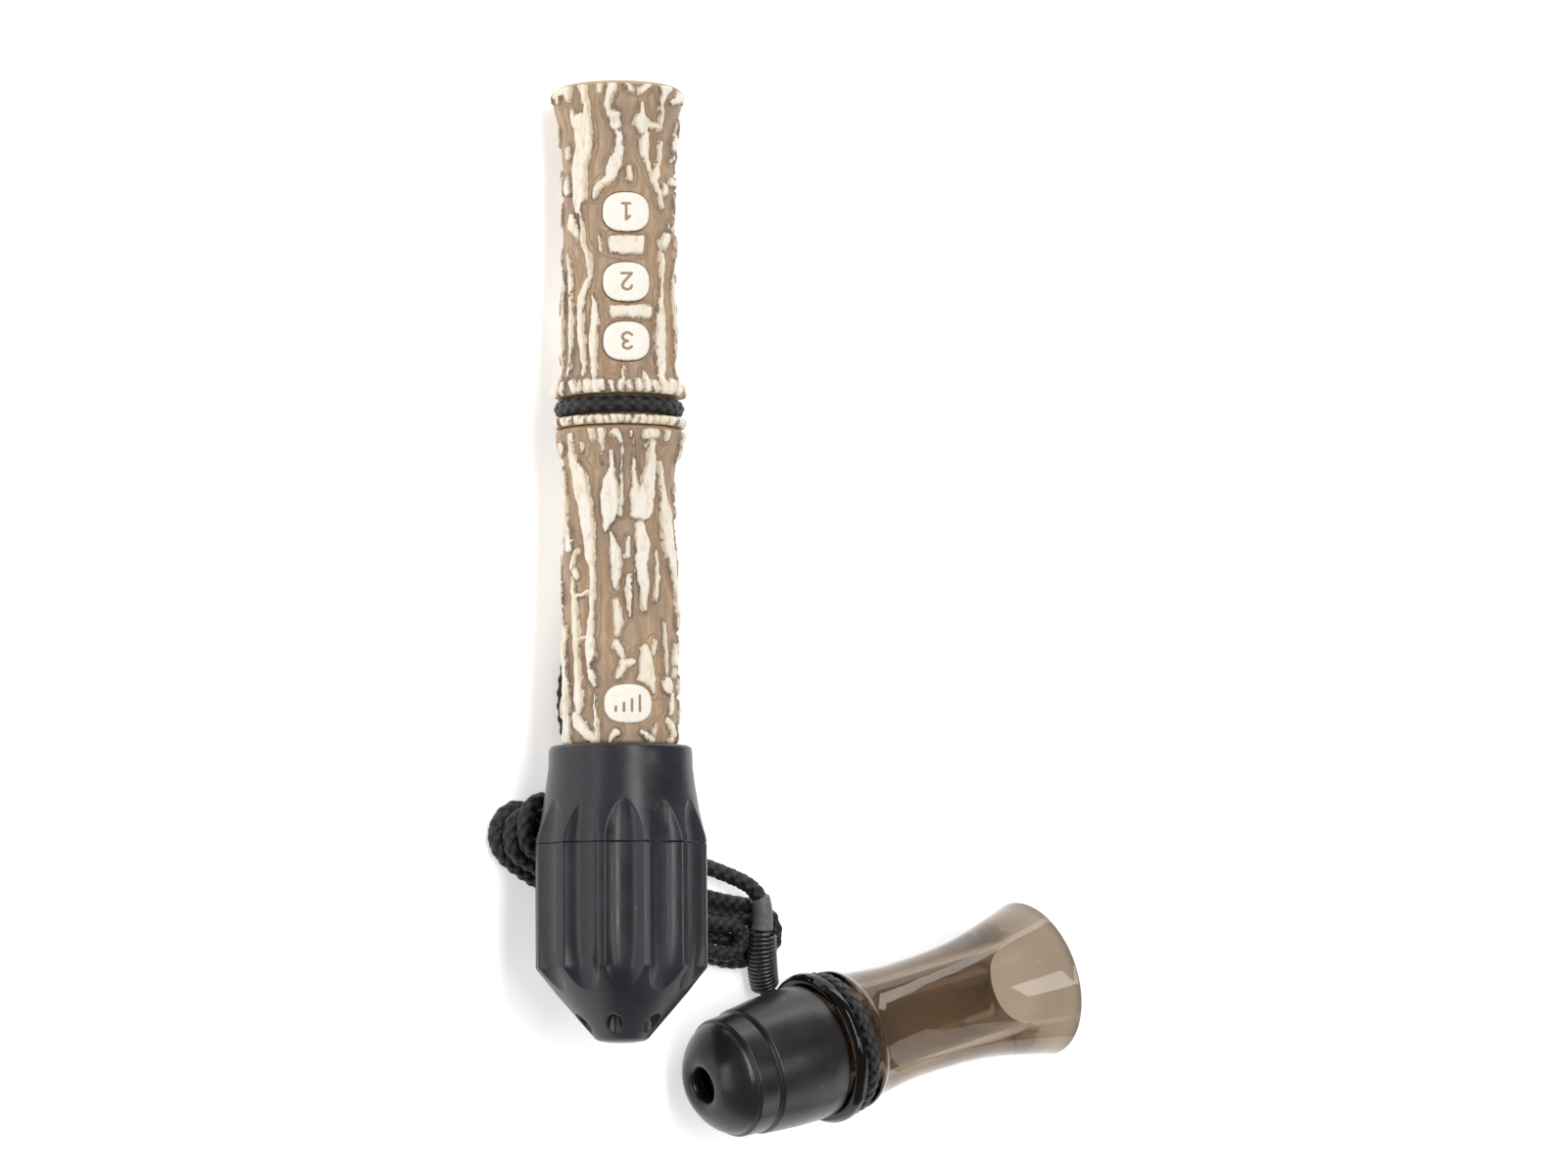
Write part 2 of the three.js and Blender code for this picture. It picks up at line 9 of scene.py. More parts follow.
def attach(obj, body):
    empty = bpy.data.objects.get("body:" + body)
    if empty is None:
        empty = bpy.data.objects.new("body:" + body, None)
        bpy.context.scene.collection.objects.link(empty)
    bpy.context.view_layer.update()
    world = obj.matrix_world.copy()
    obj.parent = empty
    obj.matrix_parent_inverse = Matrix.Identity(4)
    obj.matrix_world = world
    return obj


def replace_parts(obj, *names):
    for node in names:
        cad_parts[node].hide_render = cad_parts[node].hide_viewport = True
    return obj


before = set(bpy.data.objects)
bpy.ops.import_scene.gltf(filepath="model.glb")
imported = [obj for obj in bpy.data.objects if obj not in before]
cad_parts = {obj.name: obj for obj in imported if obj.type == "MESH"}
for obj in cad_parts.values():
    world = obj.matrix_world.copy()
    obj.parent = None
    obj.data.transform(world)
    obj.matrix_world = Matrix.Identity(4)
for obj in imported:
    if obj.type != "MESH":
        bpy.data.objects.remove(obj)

scene = bpy.context.scene
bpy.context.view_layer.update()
MM = 0.001

# ------------------------------------------------------------------ camera
# A long lens, 53.5 degrees above the table, with the grunt call's mouth at the top.
TARGET = Vector((-5.36, 9.8961, 0.0095)) * MM
TILT = math.radians(53.5)
BACK = Vector((0, -math.cos(TILT), math.sin(TILT)))
RIGHT = Vector((0, math.sin(TILT), math.cos(TILT)))
UP = Vector((-1, 0, 0))
cam_data = bpy.data.cameras.new("photo_camera")
cam_data.lens = 135
cam_data.sensor_width = 36
cam_data.sensor_fit = "HORIZONTAL"
cam_data.clip_start, cam_data.clip_end = 0.05, 20
cam = bpy.data.objects.new("photo_camera", cam_data)
scene.collection.objects.link(cam)
cam.matrix_world = Matrix.Translation(TARGET + BACK * 1.25) @ Matrix(
    (RIGHT, UP, BACK)).transposed().to_4x4()
scene.camera = cam


# ----------------------------------------------------------------- helpers
def make_mesh(name, verts, faces, material, smooth=True, uv=None, attrs=None):
    """A mesh object from points in mm, with per-point float layers and a per-point map."""
    me = bpy.data.meshes.new(name)
    me.from_pydata((np.asarray(verts, float) * MM).tolist(), [],
                   faces.tolist() if hasattr(faces, "tolist") else faces)
    me.update()
    if smooth:
        me.shade_smooth()
    for key, values in (attrs or {}).items():
        layer = me.attributes.new(key, "FLOAT", "POINT")
        layer.data.foreach_set("value", np.asarray(values, np.float32).ravel())
    if uv is not None:
        layer = me.uv_layers.new(name="run")
        index = np.empty(len(me.loops), np.int32)
        me.loops.foreach_get("vertex_index", index)
        layer.data.foreach_set("uv", np.asarray(uv, np.float32)[index].ravel())
    ob = bpy.data.objects.new(name, me)
    scene.collection.objects.link(ob)
    me.materials.append(material)
    return ob


def grid_faces(rows, cols, close_rows=False, close_cols=True, flip=False):
    """Quads of a rows x cols grid of points."""
    r = np.arange(rows if close_rows else rows - 1)
    c = np.arange(cols if close_cols else cols - 1)
    rr, cc = np.meshgrid(r, c, indexing="ij")
    r2, c2 = (rr + 1) % rows, (cc + 1) % cols
    q = np.stack([rr * cols + cc, rr * cols + c2, r2 * cols + c2, r2 * cols + cc], -1)
    q = q.reshape(-1, 4)
    return q[:, ::-1].copy() if flip else q


def outward(ob):
    """Turns the faces of a closed piece outwards."""
    bm = bmesh.new()
    bm.from_mesh(ob.data)
    bmesh.ops.recalc_face_normals(bm, faces=bm.faces)
    bm.to_mesh(ob.data)
    bm.free()
    return ob


def soften(profile, radius, steps=5, closed=True):
    """Rounds the corners of a profile and holds the straight runs straight."""
    p = np.asarray(profile, float)
    n = len(p)
    rad = np.full(n, radius, float) if np.isscalar(radius) else np.asarray(radius, float)
    out = []
    for i in range(n):
        if not closed and i in (0, n - 1):
            out.append(p[i])
            continue
        a, b, c = p[i - 1], p[i], p[(i + 1) % n]
        la, lc = np.linalg.norm(a - b), np.linalg.norm(c - b)
        cut = min(rad[i], 0.42 * la, 0.42 * lc)
        pa, pc = b + (a - b) / la * cut, b + (c - b) / lc * cut
        for t in np.linspace(0, 1, steps):
            out.append((1 - t) ** 2 * pa + 2 * t * (1 - t) * b + t * t * pc)
    out = np.array(out)
    held, m = [], len(out)
    for i in range(m if closed else m - 1):
        a, b = out[i], out[(i + 1) % m]
        held.append(a)
        length = np.linalg.norm(b - a)
        if length > 1.2:
            u = (b - a) / length
            k = max(2, int(length / 1.0) + 1)
            for t in np.linspace(0.15, length - 0.15, k):
                held.append(a + u * t)
    if not closed:
        held.append(out[-1])
    return np.array(held)


class Axis:
    """A turned piece's own frame: origin, up direction, side direction, axis (mm, row frame)."""

    def __init__(self, o, x, y, z):
        self.o, self.x, self.y, self.z = (np.array(v, float) for v in (o, x, y, z))

    def at(self, r, phi, s):
        r, phi, s = np.broadcast_arrays(*(np.asarray(v, float) for v in (r, phi, s)))
        return (self.o + (r * np.cos(phi))[..., None] * self.x
                + (r * np.sin(phi))[..., None] * self.y + s[..., None] * self.z)


GRUNT = Axis((-107.839912, -42.321933, 13.175491), (-0.078582, -0.448988, 0.890076),
             (-0.007058, -0.892564, -0.450866), (0.996883, -0.041712, 0.06697))
BLEAT = Axis((91.238088, 7.136067, 16.209491), (0.002935, -0.013472, 0.999905),
             (0.977083, 0.21286, 0.0), (-0.21284, 0.97699, 0.013788))


def turned(name, axis, profile, count, material, layer=None):
    """A closed turned piece from a closed profile of (radius, along)."""
    p = np.asarray(profile, float)
    phi = np.linspace(0, 2 * math.pi, count, endpoint=False)
    pts = axis.at(p[:, 0][:, None], phi[None, :], p[:, 1][:, None]).reshape(-1, 3)
    attrs = None if layer is None else {layer[0]: np.repeat(np.interp(p[:, 1], *layer[1]), count)}
    return outward(make_mesh(name, pts, grid_faces(len(p), count, close_rows=True), material, attrs=attrs))


def smoothstep(x):
    x = np.clip(x, 0, 1)
    return x * x * (3 - 2 * x)


def hash01(ix, iy, seed):
    h = (ix.astype(np.int64) * 374761393 + iy.astype(np.int64) * 668265263 + seed * 1446647) & 0xFFFFFFFF
    h = ((h ^ (h >> 13)) * 1274126177) & 0xFFFFFFFF
    h = ((h ^ (h >> 16)) * 2246822519) & 0xFFFFFFFF
    return ((h ^ (h >> 15)) & 0xFFFFFF) / float(0xFFFFFF)


def vnoise(x, y, seed, period=None):
    """Smooth value noise from -1 to 1; period closes it in x after that many cells."""
    x, y = np.broadcast_arrays(np.asarray(x, float), np.asarray(y, float))
    ix, iy = np.floor(x).astype(np.int64), np.floor(y).astype(np.int64)
    fx, fy = x - ix, y - iy
    fx, fy = fx * fx * (3 - 2 * fx), fy * fy * (3 - 2 * fy)
    x0, x1 = (ix, ix + 1) if period is None else (ix % period, (ix + 1) % period)
    a, b = hash01(x0, iy, seed), hash01(x1, iy, seed)
    c, d = hash01(x0, iy + 1, seed), hash01(x1, iy + 1, seed)
    return 2 * ((a * (1 - fx) + b * fx) * (1 - fy) + (c * (1 - fx) + d * fx) * fy) - 1


# --------------------------------------------------------------- materials
def lin(r, g, b):
    """Linear colour of a display colour given as 0 to 255."""
    return tuple(((c / 255 + 0.055) / 1.055) ** 2.4 if c > 10 else c / 255 / 12.92
                 for c in (r, g, b)) + (1.0,)


class Shade:
    """A node material under construction."""

    def __init__(self, name, **sockets):
        self.m = bpy.data.materials.new(name)
        self.m.use_nodes = True
        self.t = self.m.node_tree
        self.b = next(n for n in self.t.nodes if n.type == "BSDF_PRINCIPLED")
        for key, value in sockets.items():
            self.b.inputs[key.replace("_", " ")].default_value = value

    def put(self, socket, value):
        if isinstance(value, bpy.types.NodeSocket):
            self.t.links.new(value, socket)
        else:
            socket.default_value = value

    def node(self, kind, props=None, out=0, **inputs):
        n = self.t.nodes.new(kind)
        for key, value in (props or {}).items():
            setattr(n, key, value)
        for key, value in inputs.items():
            index = int(key[1:]) if key[0] == "i" and key[1:].isdigit() else key.replace("_", " ")
            self.put(n.inputs[index], value)
        return n.outputs[out]

    def where(self):
        return self.node("ShaderNodeTexCoord", out="Object")

    def run(self):
        return self.node("ShaderNodeUVMap", {"uv_map": "run"})

    def scaled(self, vector, scale):
        return self.node("ShaderNodeMapping", Vector=vector, Scale=scale)

    def attr(self, name):
        return self.node("ShaderNodeAttribute", {"attribute_name": name}, out="Fac")

    def noise(self, vector, scale, detail=3.0, rough=0.55, distort=0.0):
        return self.node("ShaderNodeTexNoise", Vector=vector, Scale=scale, Detail=detail,
                         Roughness=rough, Distortion=distort)

    def math(self, op, a, b=0.0, c=0.0):
        return self.node("ShaderNodeMath", {"operation": op}, i0=a, i1=b, i2=c)

    def span(self, value, lo, hi, to_lo=0.0, to_hi=1.0, kind="LINEAR"):
        return self.node("ShaderNodeMapRange", {"interpolation_type": kind}, Value=value,
                         From_Min=lo, From_Max=hi, To_Min=to_lo, To_Max=to_hi)

    def mix(self, fac, a, b):
        n = self.t.nodes.new("ShaderNodeMix")
        n.data_type = "RGBA"
        self.put(n.inputs[0], fac)
        self.put(n.inputs[6], a)
        self.put(n.inputs[7], b)
        return n.outputs[2]

    def bump(self, height, distance, strength=1.0, normal=None):
        n = self.t.nodes.new("ShaderNodeBump")
        n.inputs["Strength"].default_value = strength
        n.inputs["Distance"].default_value = distance
        self.put(n.inputs["Height"], height)
        if normal is not None:
            self.put(n.inputs["Normal"], normal)
        return n.outputs[0]

    def set(self, **links):
        for key, value in links.items():
            self.put(self.b.inputs[key.replace("_", " ")], value)
        return self


def antler_material(name):
    """Cream raised ridges over brown wiped recesses; the layer sd is the distance to a ridge's edge in mm. The valley
    carries painted shade and a painted shadow line at the ridges' feet, and the ridges' shoulders are partly painted
    shade.
    """
    s = Shade(name, Roughness=0.5, IOR=1.45)
    at = s.where()
    streak = s.noise(s.scaled(at, (150, 640, 640)), 1.0, 4.0, 0.62)
    ragged = s.noise(s.scaled(at, (620, 1500, 1500)), 1.0, 4.0, 0.65)
    broad = s.noise(s.scaled(at, (45, 120, 120)), 1.0, 3.0, 0.6)
    dry = s.noise(s.scaled(at, (260, 2300, 2300)), 1.0, 3.0, 0.6)
    plain = s.attr("sd")
    patch = s.noise(s.scaled(at, (110, 230, 230)), 1.0, 2.0, 0.5)
    sd = s.math("ADD", plain, s.span(ragged, 0.28, 0.72, -0.30, 0.30))
    sd = s.math("ADD", sd, s.span(dry, 0.3, 0.7, -0.20, 0.20))
    sd = s.math("ADD", sd, s.span(patch, 0.35, 0.70, -0.22, 0.30))
    cream = s.span(sd, 0.16, -0.16, 0.0, 1.0, "SMOOTHSTEP")
    # painted shade: the valley darkens towards each ridge's foot
    foot_shade = s.span(sd, 0.80, 0.0, 0.0, 1.0, "SMOOTHSTEP")
    # painted shadow: a thin dark line along each ridge's base
    outline = s.span(sd, 0.36, 0.04, 0.0, 1.0, "SMOOTHSTEP")
    flow = s.math("ADD", plain, s.span(broad, 0.3, 0.7, -0.45, 0.45))
    flow = s.math("MULTIPLY", s.span(flow, 0.50, 0.92, 0.0, 1.0, "SMOOTHSTEP"), s.span(flow, 0.92, 1.40, 1.0, 0.0, "SMOOTHSTEP"))
    worn = s.noise(s.scaled(at, (330, 980, 980)), 1.0, 3.0, 0.62)
    valley = s.mix(s.span(streak, 0.34, 0.66), lin(*VALLEY_DARK), lin(*VALLEY_LIGHT))
    valley = s.mix(s.span(broad, 0.40, 0.66, 0.0, 0.7), valley, lin(*VALLEY_GREY))
    # painted shade round the ridges' feet, gated by broad noise
    valley = s.mix(s.math("MULTIPLY", foot_shade, s.span(broad, 0.35, 0.62, 0.30, 0.85)), valley, lin(*FOOT_SHADE))
    valley = s.mix(s.math("MULTIPLY", flow, s.span(streak, 0.36, 0.62, 0.0, 0.70)), valley, lin(*FLOW))
    valley = s.mix(s.span(dry, 0.62, 0.76, 0.0, 0.45), valley, lin(*VALLEY_PALE))
    # painted shadow line at the ridges' base, broken up by patch noise
    valley = s.mix(s.math("MULTIPLY", outline, s.span(patch, 0.36, 0.62, 0.20, 0.95)), valley, lin(*FOOT_SHADOW_LINE))
    valley = s.mix(s.span(plain, 1.8, 2.2, 0.0, 0.72), valley, lin(*BARE))
    pale = s.mix(s.span(broad, 0.35, 0.65), lin(*CREAM_WARM), lin(*CREAM_COOL))
    pale = s.mix(s.span(dry, 0.56, 0.74, 0.0, 0.35), pale, lin(*CREAM_STAIN_AND_SHADE))
    pale = s.mix(s.span(worn, 0.52, 0.66, 0.0, 0.60), pale, lin(*CREAM_STAIN_AND_SHADE))
    # the ridges' shoulders turn beige: partly the wiped brown, partly painted shade, leaving the crests paler as a
    # painted highlight
    pale = s.mix(s.span(s.attr("crest"), 0.95, 0.15, 0.0, 0.60, "SMOOTHSTEP"), pale, lin(*CREAM_STAIN_AND_SHADE))
    s.set(Base_Color=s.mix(cream, valley, pale),
          Roughness=s.span(streak, 0.3, 0.7, 0.42, 0.58),
          Normal=s.bump(streak, 0.0003, 0.4, s.bump(dry, 0.00012, 0.35)))
    return s.m


VALLEY_DARK, VALLEY_LIGHT, VALLEY_GREY, VALLEY_PALE = (156, 127, 98), (194, 166, 134), (156, 136, 118), (212, 194, 168)
# the first colour on the next line is painted shade at the ridges' feet, and the last is a painted shadow line at their
# base
FOOT_SHADE, BARE, FLOW, FOOT_SHADOW_LINE = (120, 100, 82), (180, 152, 110), (124, 97, 72), (98, 78, 62)
# the last colour here serves both for real stains and for painted shade on the ridges' shoulders
CREAM_WARM, CREAM_COOL, CREAM_STAIN_AND_SHADE = (240, 229, 207), (240, 233, 222), (208, 187, 156)


def button_material(name):
    """Cream wiped pad with brown left in the engraved marks (layer ink)."""
    s = Shade(name, Roughness=0.48, IOR=1.45)
    at = s.where()
    broad = s.noise(at, 260, 3.0, 0.6)
    fine = s.noise(s.scaled(at, (700, 1600, 1600)), 1.0, 3.0, 0.6)
    ink = s.span(s.math("ADD", s.attr("ink"), s.span(fine, 0.3, 0.7, -0.14, 0.14)), 0.32, 0.68, 0, 1, "SMOOTHSTEP")
    pale = s.mix(s.span(broad, 0.35, 0.65), lin(246, 239, 224), lin(246, 242, 234))
    pale = s.mix(s.span(fine, 0.58, 0.8, 0.0, 0.25), pale, lin(220, 205, 180))
    s.set(Base_Color=s.mix(ink, pale, lin(160, 136, 106)),
          Roughness=s.span(fine, 0.3, 0.7, 0.42, 0.56),
          Normal=s.bump(fine, 0.00008, 0.3))
    return s.m


def rubber_material(name, dark, light, rough, dust=0.25):
    """Moulded rubber with handling smudges and fine dust."""
    s = Shade(name, Roughness=rough, IOR=1.48)
    at = s.where()
    smudge = s.noise(at, 110, 4.0, 0.6, 0.4)
    grain = s.noise(at, 2600, 2.0, 0.5)
    speck = s.node("ShaderNodeTexVoronoi", {"feature": "F1"}, Vector=at, Scale=420.0, Randomness=1.0)
    dots = s.span(speck, 0.05, 0.09, 1.0, 0.0, "SMOOTHSTEP")
    gate = s.span(s.noise(at, 240, 2.0), 0.56, 0.66)
    base = s.mix(s.span(smudge, 0.35, 0.68), lin(*dark), lin(*light))
    base = s.mix(s.math("MULTIPLY", s.math("MULTIPLY", dots, gate), dust), base, lin(190, 188, 184))
    s.set(Base_Color=base, Roughness=s.span(smudge, 0.3, 0.7, rough - 0.05, rough + 0.08),
          Normal=s.bump(grain, 0.00004, 0.35))
    return s.m


def smoke_material(name):
    """Smoke brown clear plastic, polished, with faint moulding clouds; darker where the layer thick marks solid plastic."""
    s = Shade(name, Roughness=0.03, IOR=1.12)
    s.b.inputs["Transmission Weight"].default_value = 1.0
    s.b.inputs["Coat Weight"].default_value = 0.7
    s.b.inputs["Coat IOR"].default_value = 1.5
    s.b.inputs["Coat Roughness"].default_value = 0.05
    at = s.where()
    cloud = s.noise(at, 60, 3.0, 0.55)
    base = s.mix(s.span(cloud, 0.35, 0.65), lin(168, 152, 132), lin(179, 163, 143))
    base = s.mix(s.attr("thick"), base, lin(78, 64, 52))
    s.set(Base_Color=s.mix(s.span(s.attr("thick"), 0.94, 1.0, 0.0, 0.85), base, lin(26, 22, 19)),
          Roughness=s.span(s.noise(at, 320, 3.0), 0.35, 0.7, 0.02, 0.06))
    deep = s.t.nodes.new("ShaderNodeVolumeAbsorption")
    deep.inputs["Color"].default_value = (0.55, 0.44, 0.33, 1.0)
    deep.inputs["Density"].default_value = 60.0
    end = next(nd for nd in s.t.nodes if nd.type == "OUTPUT_MATERIAL")
    s.t.links.new(deep.outputs["Volume"], end.inputs["Volume"])
    return s.m


def plain_material(name, dark, light, rough, scale=300.0, metallic=0.0, bump=0.00003):
    """A fine grained material for the small inside pieces."""
    s = Shade(name, Roughness=rough, IOR=1.46, Metallic=metallic)
    at = s.where()
    grain = s.noise(at, scale, 4.0, 0.6)
    s.set(Base_Color=s.mix(s.span(grain, 0.32, 0.68), lin(*dark), lin(*light)),
          Roughness=s.span(grain, 0.3, 0.7, max(0.02, rough - 0.06), rough + 0.08),
          Normal=s.bump(grain, bump, 0.4))
    return s.m


def cord_material(name):
    """Black braided fibre with pale flecks; the layer dip marks the furrows between the strands, with painted shade in
    the furrows and a painted highlight on the crests.
    """
    s = Shade(name, Roughness=0.52, IOR=1.45)
    s.b.inputs["Sheen Weight"].default_value = 0.1
    s.b.inputs["Sheen Roughness"].default_value = 0.45
    run = s.run()
    fibre = s.noise(s.scaled(run, (26.0, 1900.0, 1.0)), 1.0, 3.0, 0.6)
    fleck = s.noise(s.scaled(run, (9.0, 620.0, 1.0)), 1.0, 2.0, 0.5)
    base = s.mix(s.span(fibre, 0.3, 0.7), lin(4, 4, 5), lin(16, 16, 17))
    base = s.mix(s.span(fleck, 0.66, 0.74, 0.0, 0.5), base, lin(110, 108, 106))
    # painted highlight: the strands' crests are lighter
    base = s.mix(s.span(s.attr("dip"), 0.62, 1.0, 0.0, 0.75), base, lin(48, 48, 50))
    # painted shade: the furrows between the strands are near black
    base = s.mix(s.span(s.attr("dip"), 0.05, 0.55, 0.9, 0.0), base, lin(2, 2, 2))
    s.set(Base_Color=base, Normal=s.bump(fibre, 0.00010, 0.6))
    return s.m


M_ANTLER = antler_material("antler_wiped")
M_BUTTON = button_material("pad_wiped")
M_GRIP = rubber_material("rubber_grip", (28, 28, 34), (37, 37, 44), 0.33)
M_MOUTH = rubber_material("rubber_mouthpiece", (23, 23, 25), (33, 33, 35), 0.29, 0.3)
M_SMOKE = smoke_material("smoke_clear")
M_BLACK = plain_material("black_moulding", (26, 26, 28), (38, 38, 41), 0.4)
M_REED = plain_material("reed_sheet", (205, 196, 172), (226, 218, 198), 0.2)
M_CORK = plain_material("cork_wedge", (140, 100, 62), (196, 154, 104), 0.8, 700.0, 0.0, 0.0002)
M_SEAL = plain_material("seal_black", (18, 18, 18), (30, 30, 31), 0.45)
M_SILICONE = plain_material("silicone_grey", (118, 116, 112), (136, 134, 130), 0.5)
M_CORD = cord_material("braided_cord")
M_SHRINK = plain_material("shrink_tube", (94, 94, 98), (116, 116, 120), 0.40, 500.0, 0.0, 0.00008)
M_SPRING = plain_material("spring_wire", (70, 70, 72), (92, 92, 94), 0.3, 900.0, 0.6)
M_TIE = plain_material("tie_strip", (20, 20, 21), (34, 34, 36), 0.5, 600.0)


# ------------------------------------------------------------------- cord
# One cord from the grunt call's groove to the bleat call's groove, in mm, row frame.
CORD_D = 3.1
CORD_POINTS = [
    (-22.4, -34.0, 1.76), (-31.4, -33.6, 1.71), (-37.4, -34.2, 1.58), (-39.2, -35.0, 1.58), (-40.5, -36.4, 1.58),
    (-41.3, -38.1, 1.58), (-41.8, -44.1, 2.20), (-41.7, -48.4, 4.63), (-41.8, -54.7, 11.10), (-42.1, -56.3, 14.69),
    (-42.4, -56.6, 18.61), (-42.6, -55.6, 22.42), (-42.7, -53.4, 25.67), (-42.8, -50.2, 28.00), (-42.7, -46.4, 29.12),
    (-42.5, -42.5, 28.92), (-42.2, -38.9, 27.41), (-41.9, -35.9, 24.77), (-41.6, -34.1, 21.31), (-41.3, -33.5, 16.41),
    (-40.9, -35.5, 7.58), (-40.0, -36.5, 5.05), (-38.9, -37.1, 3.64), (-37.4, -37.2, 2.47), (-35.6, -37.1, 1.81),
    (-26.7, -37.2, 1.76), (-17.8, -38.1, 1.58), (-9.0, -40.1, 1.58), (-0.4, -42.9, 1.58), (8.1, -46.0, 1.58),
    (16.9, -47.7, 1.58), (25.7, -46.5, 1.58), (33.5, -42.1, 2.03), (40.7, -37.2, 4.27), (47.4, -31.3, 4.57),
    (53.2, -24.4, 4.26), (59.4, -17.9, 4.10), (62.6, -12.3, 1.80), (63.5, -8.6, 1.58), (64.1, -4.6, 1.58), (64.2, -2.2, 1.58),
    (64.6, -0.5, 1.58), (65.75, 0.7, 1.58), (67.3, 1.15, 1.58), (68.85, 0.7, 1.58), (70.0, -0.5, 1.58), (70.4, -2.2, 1.58),
    (69.7, -4.2, 1.58), (68.65, -6.4, 1.58), (68.05, -9.4, 1.58), (67.75, -12.8, 1.58), (65.9, -21.0, 2.72), (64.2, -29.7, 3.70), (60.9, -38.0, 4.06),
    (57.0, -46.1, 4.02), (53.0, -54.2, 4.01), (49.5, -61.5, 4.63), (48.1, -62.8, 4.65), (46.5, -63.25, 4.64),
    (44.7, -63.25, 4.62), (42.9, -62.8, 4.60), (42.1, -62.2, 4.59), (41.5, -61.4, 4.56), (41.2, -60.5, 4.52),
    (41.7, -58.9, 4.41), (45.1, -56.2, 4.30), (48.1, -48.6, 3.40), (52.8, -41.3, 1.73), (56.3, -33.0, 1.58),
    (58.9, -24.5, 1.58), (59.0, -15.5, 1.58), (60.75, -6.8, 1.58), (62.4, 2.0, 1.58), (63.3, 3.7, 1.58),
    (64.7, 5.0, 1.58), (66.4, 5.8, 1.58), (68.3, 6.1, 1.58), (69.2, 5.9, 1.58), (70.0, 5.6, 1.58),
    (70.6, 5.0, 1.58), (71.6, 4.2, 1.58), (73.3, -4.2, 1.58), (71.5, -12.9, 1.58), (68.6, -21.6, 1.58),
    (66.3, -30.4, 1.58), (62.7, -38.6, 1.58), (58.8, -46.7, 1.58), (54.8, -54.8, 1.58), (50.0, -62.4, 1.58),
    (47.7, -64.3, 1.58), (45.9, -64.9, 1.58), (44.0, -64.7, 1.58), (42.3, -63.9, 1.58), (40.9, -62.6, 1.58),
    (40.0, -60.9, 1.58), (39.9, -59.0, 1.58), (41.3, -55.3, 1.58), (45.6, -47.4, 1.58), (49.8, -39.4, 1.58),
    (53.6, -31.3, 1.91), (57.4, -27.0, 5.00), (61.4, -22.5, 6.60),
    (63.5, -18.0, 6.00), (64.75, -13.6, 4.95), (65.3, -10.4, 4.70), (65.38, -8.0, 4.70), (65.79, -6.46, 4.70), (66.92, -5.33, 4.70), (68.46, -4.92, 4.70),
    (70.0, -5.33, 4.70), (71.13, -6.46, 4.70), (71.54, -8.0, 4.70), (71.33, -10.4, 4.70), (70.5, -14.2, 4.75), (68.2, -20.0, 5.20), (66.6, -25.6, 6.00), (64.6, -29.1, 6.40), (61.9, -31.6, 5.80), (59.3, -35.0, 3.23), (57.5, -39.4, 1.74),
    (53.5, -47.4, 1.58), (50.9, -51.6, 2.30), (49.1, -57.8, 6.35), (48.4, -59.3, 7.00), (47.5, -60.6, 7.35),
    (46.3, -61.4, 7.52), (45.0, -61.7, 7.58), (43.6, -61.75, 7.62), (42.2, -61.6, 7.62),
    (40.7, -61.2, 7.62), (39.4, -60.4, 7.60), (38.5, -59.1, 7.50), (38.15, -57.4, 7.10), (38.3, -55.4, 5.90), (38.8, -53.0, 4.00), (39.6, -50.6, 2.30),
    (41.9, -43.5, 1.58), (44.9, -35.0, 1.58), (48.2, -26.6, 1.58), (51.3, -18.1, 1.71), (54.2, -9.8, 3.48),
    (57.2, -3.6, 5.59), (59.3, -1.6, 6.23), (62.1, -0.7, 6.54), (70.9, -0.2, 5.50), (78.9, 2.6, 2.91),
    (82.1, 5.9, 1.63), (89.3, 9.7, 2.22), (93.7, 11.1, 2.85), (98.1, 12.1, 4.85), (101.6, 12.8, 8.32),
    (103.6, 13.2, 12.81), (104.0, 13.2, 17.74), (102.6, 12.8, 22.49), (99.7, 12.1, 26.42), (95.6, 11.2, 29.06),
    (90.9, 10.1, 30.04), (86.1, 9.1, 29.25), (81.9, 8.2, 26.79), (78.8, 7.6, 22.98), (77.2, 7.3, 18.30),
    (77.4, 7.4, 13.35), (79.2, 7.9, 8.78), (82.5, 8.7, 5.18), (85.9, 9.4, 3.19),
]


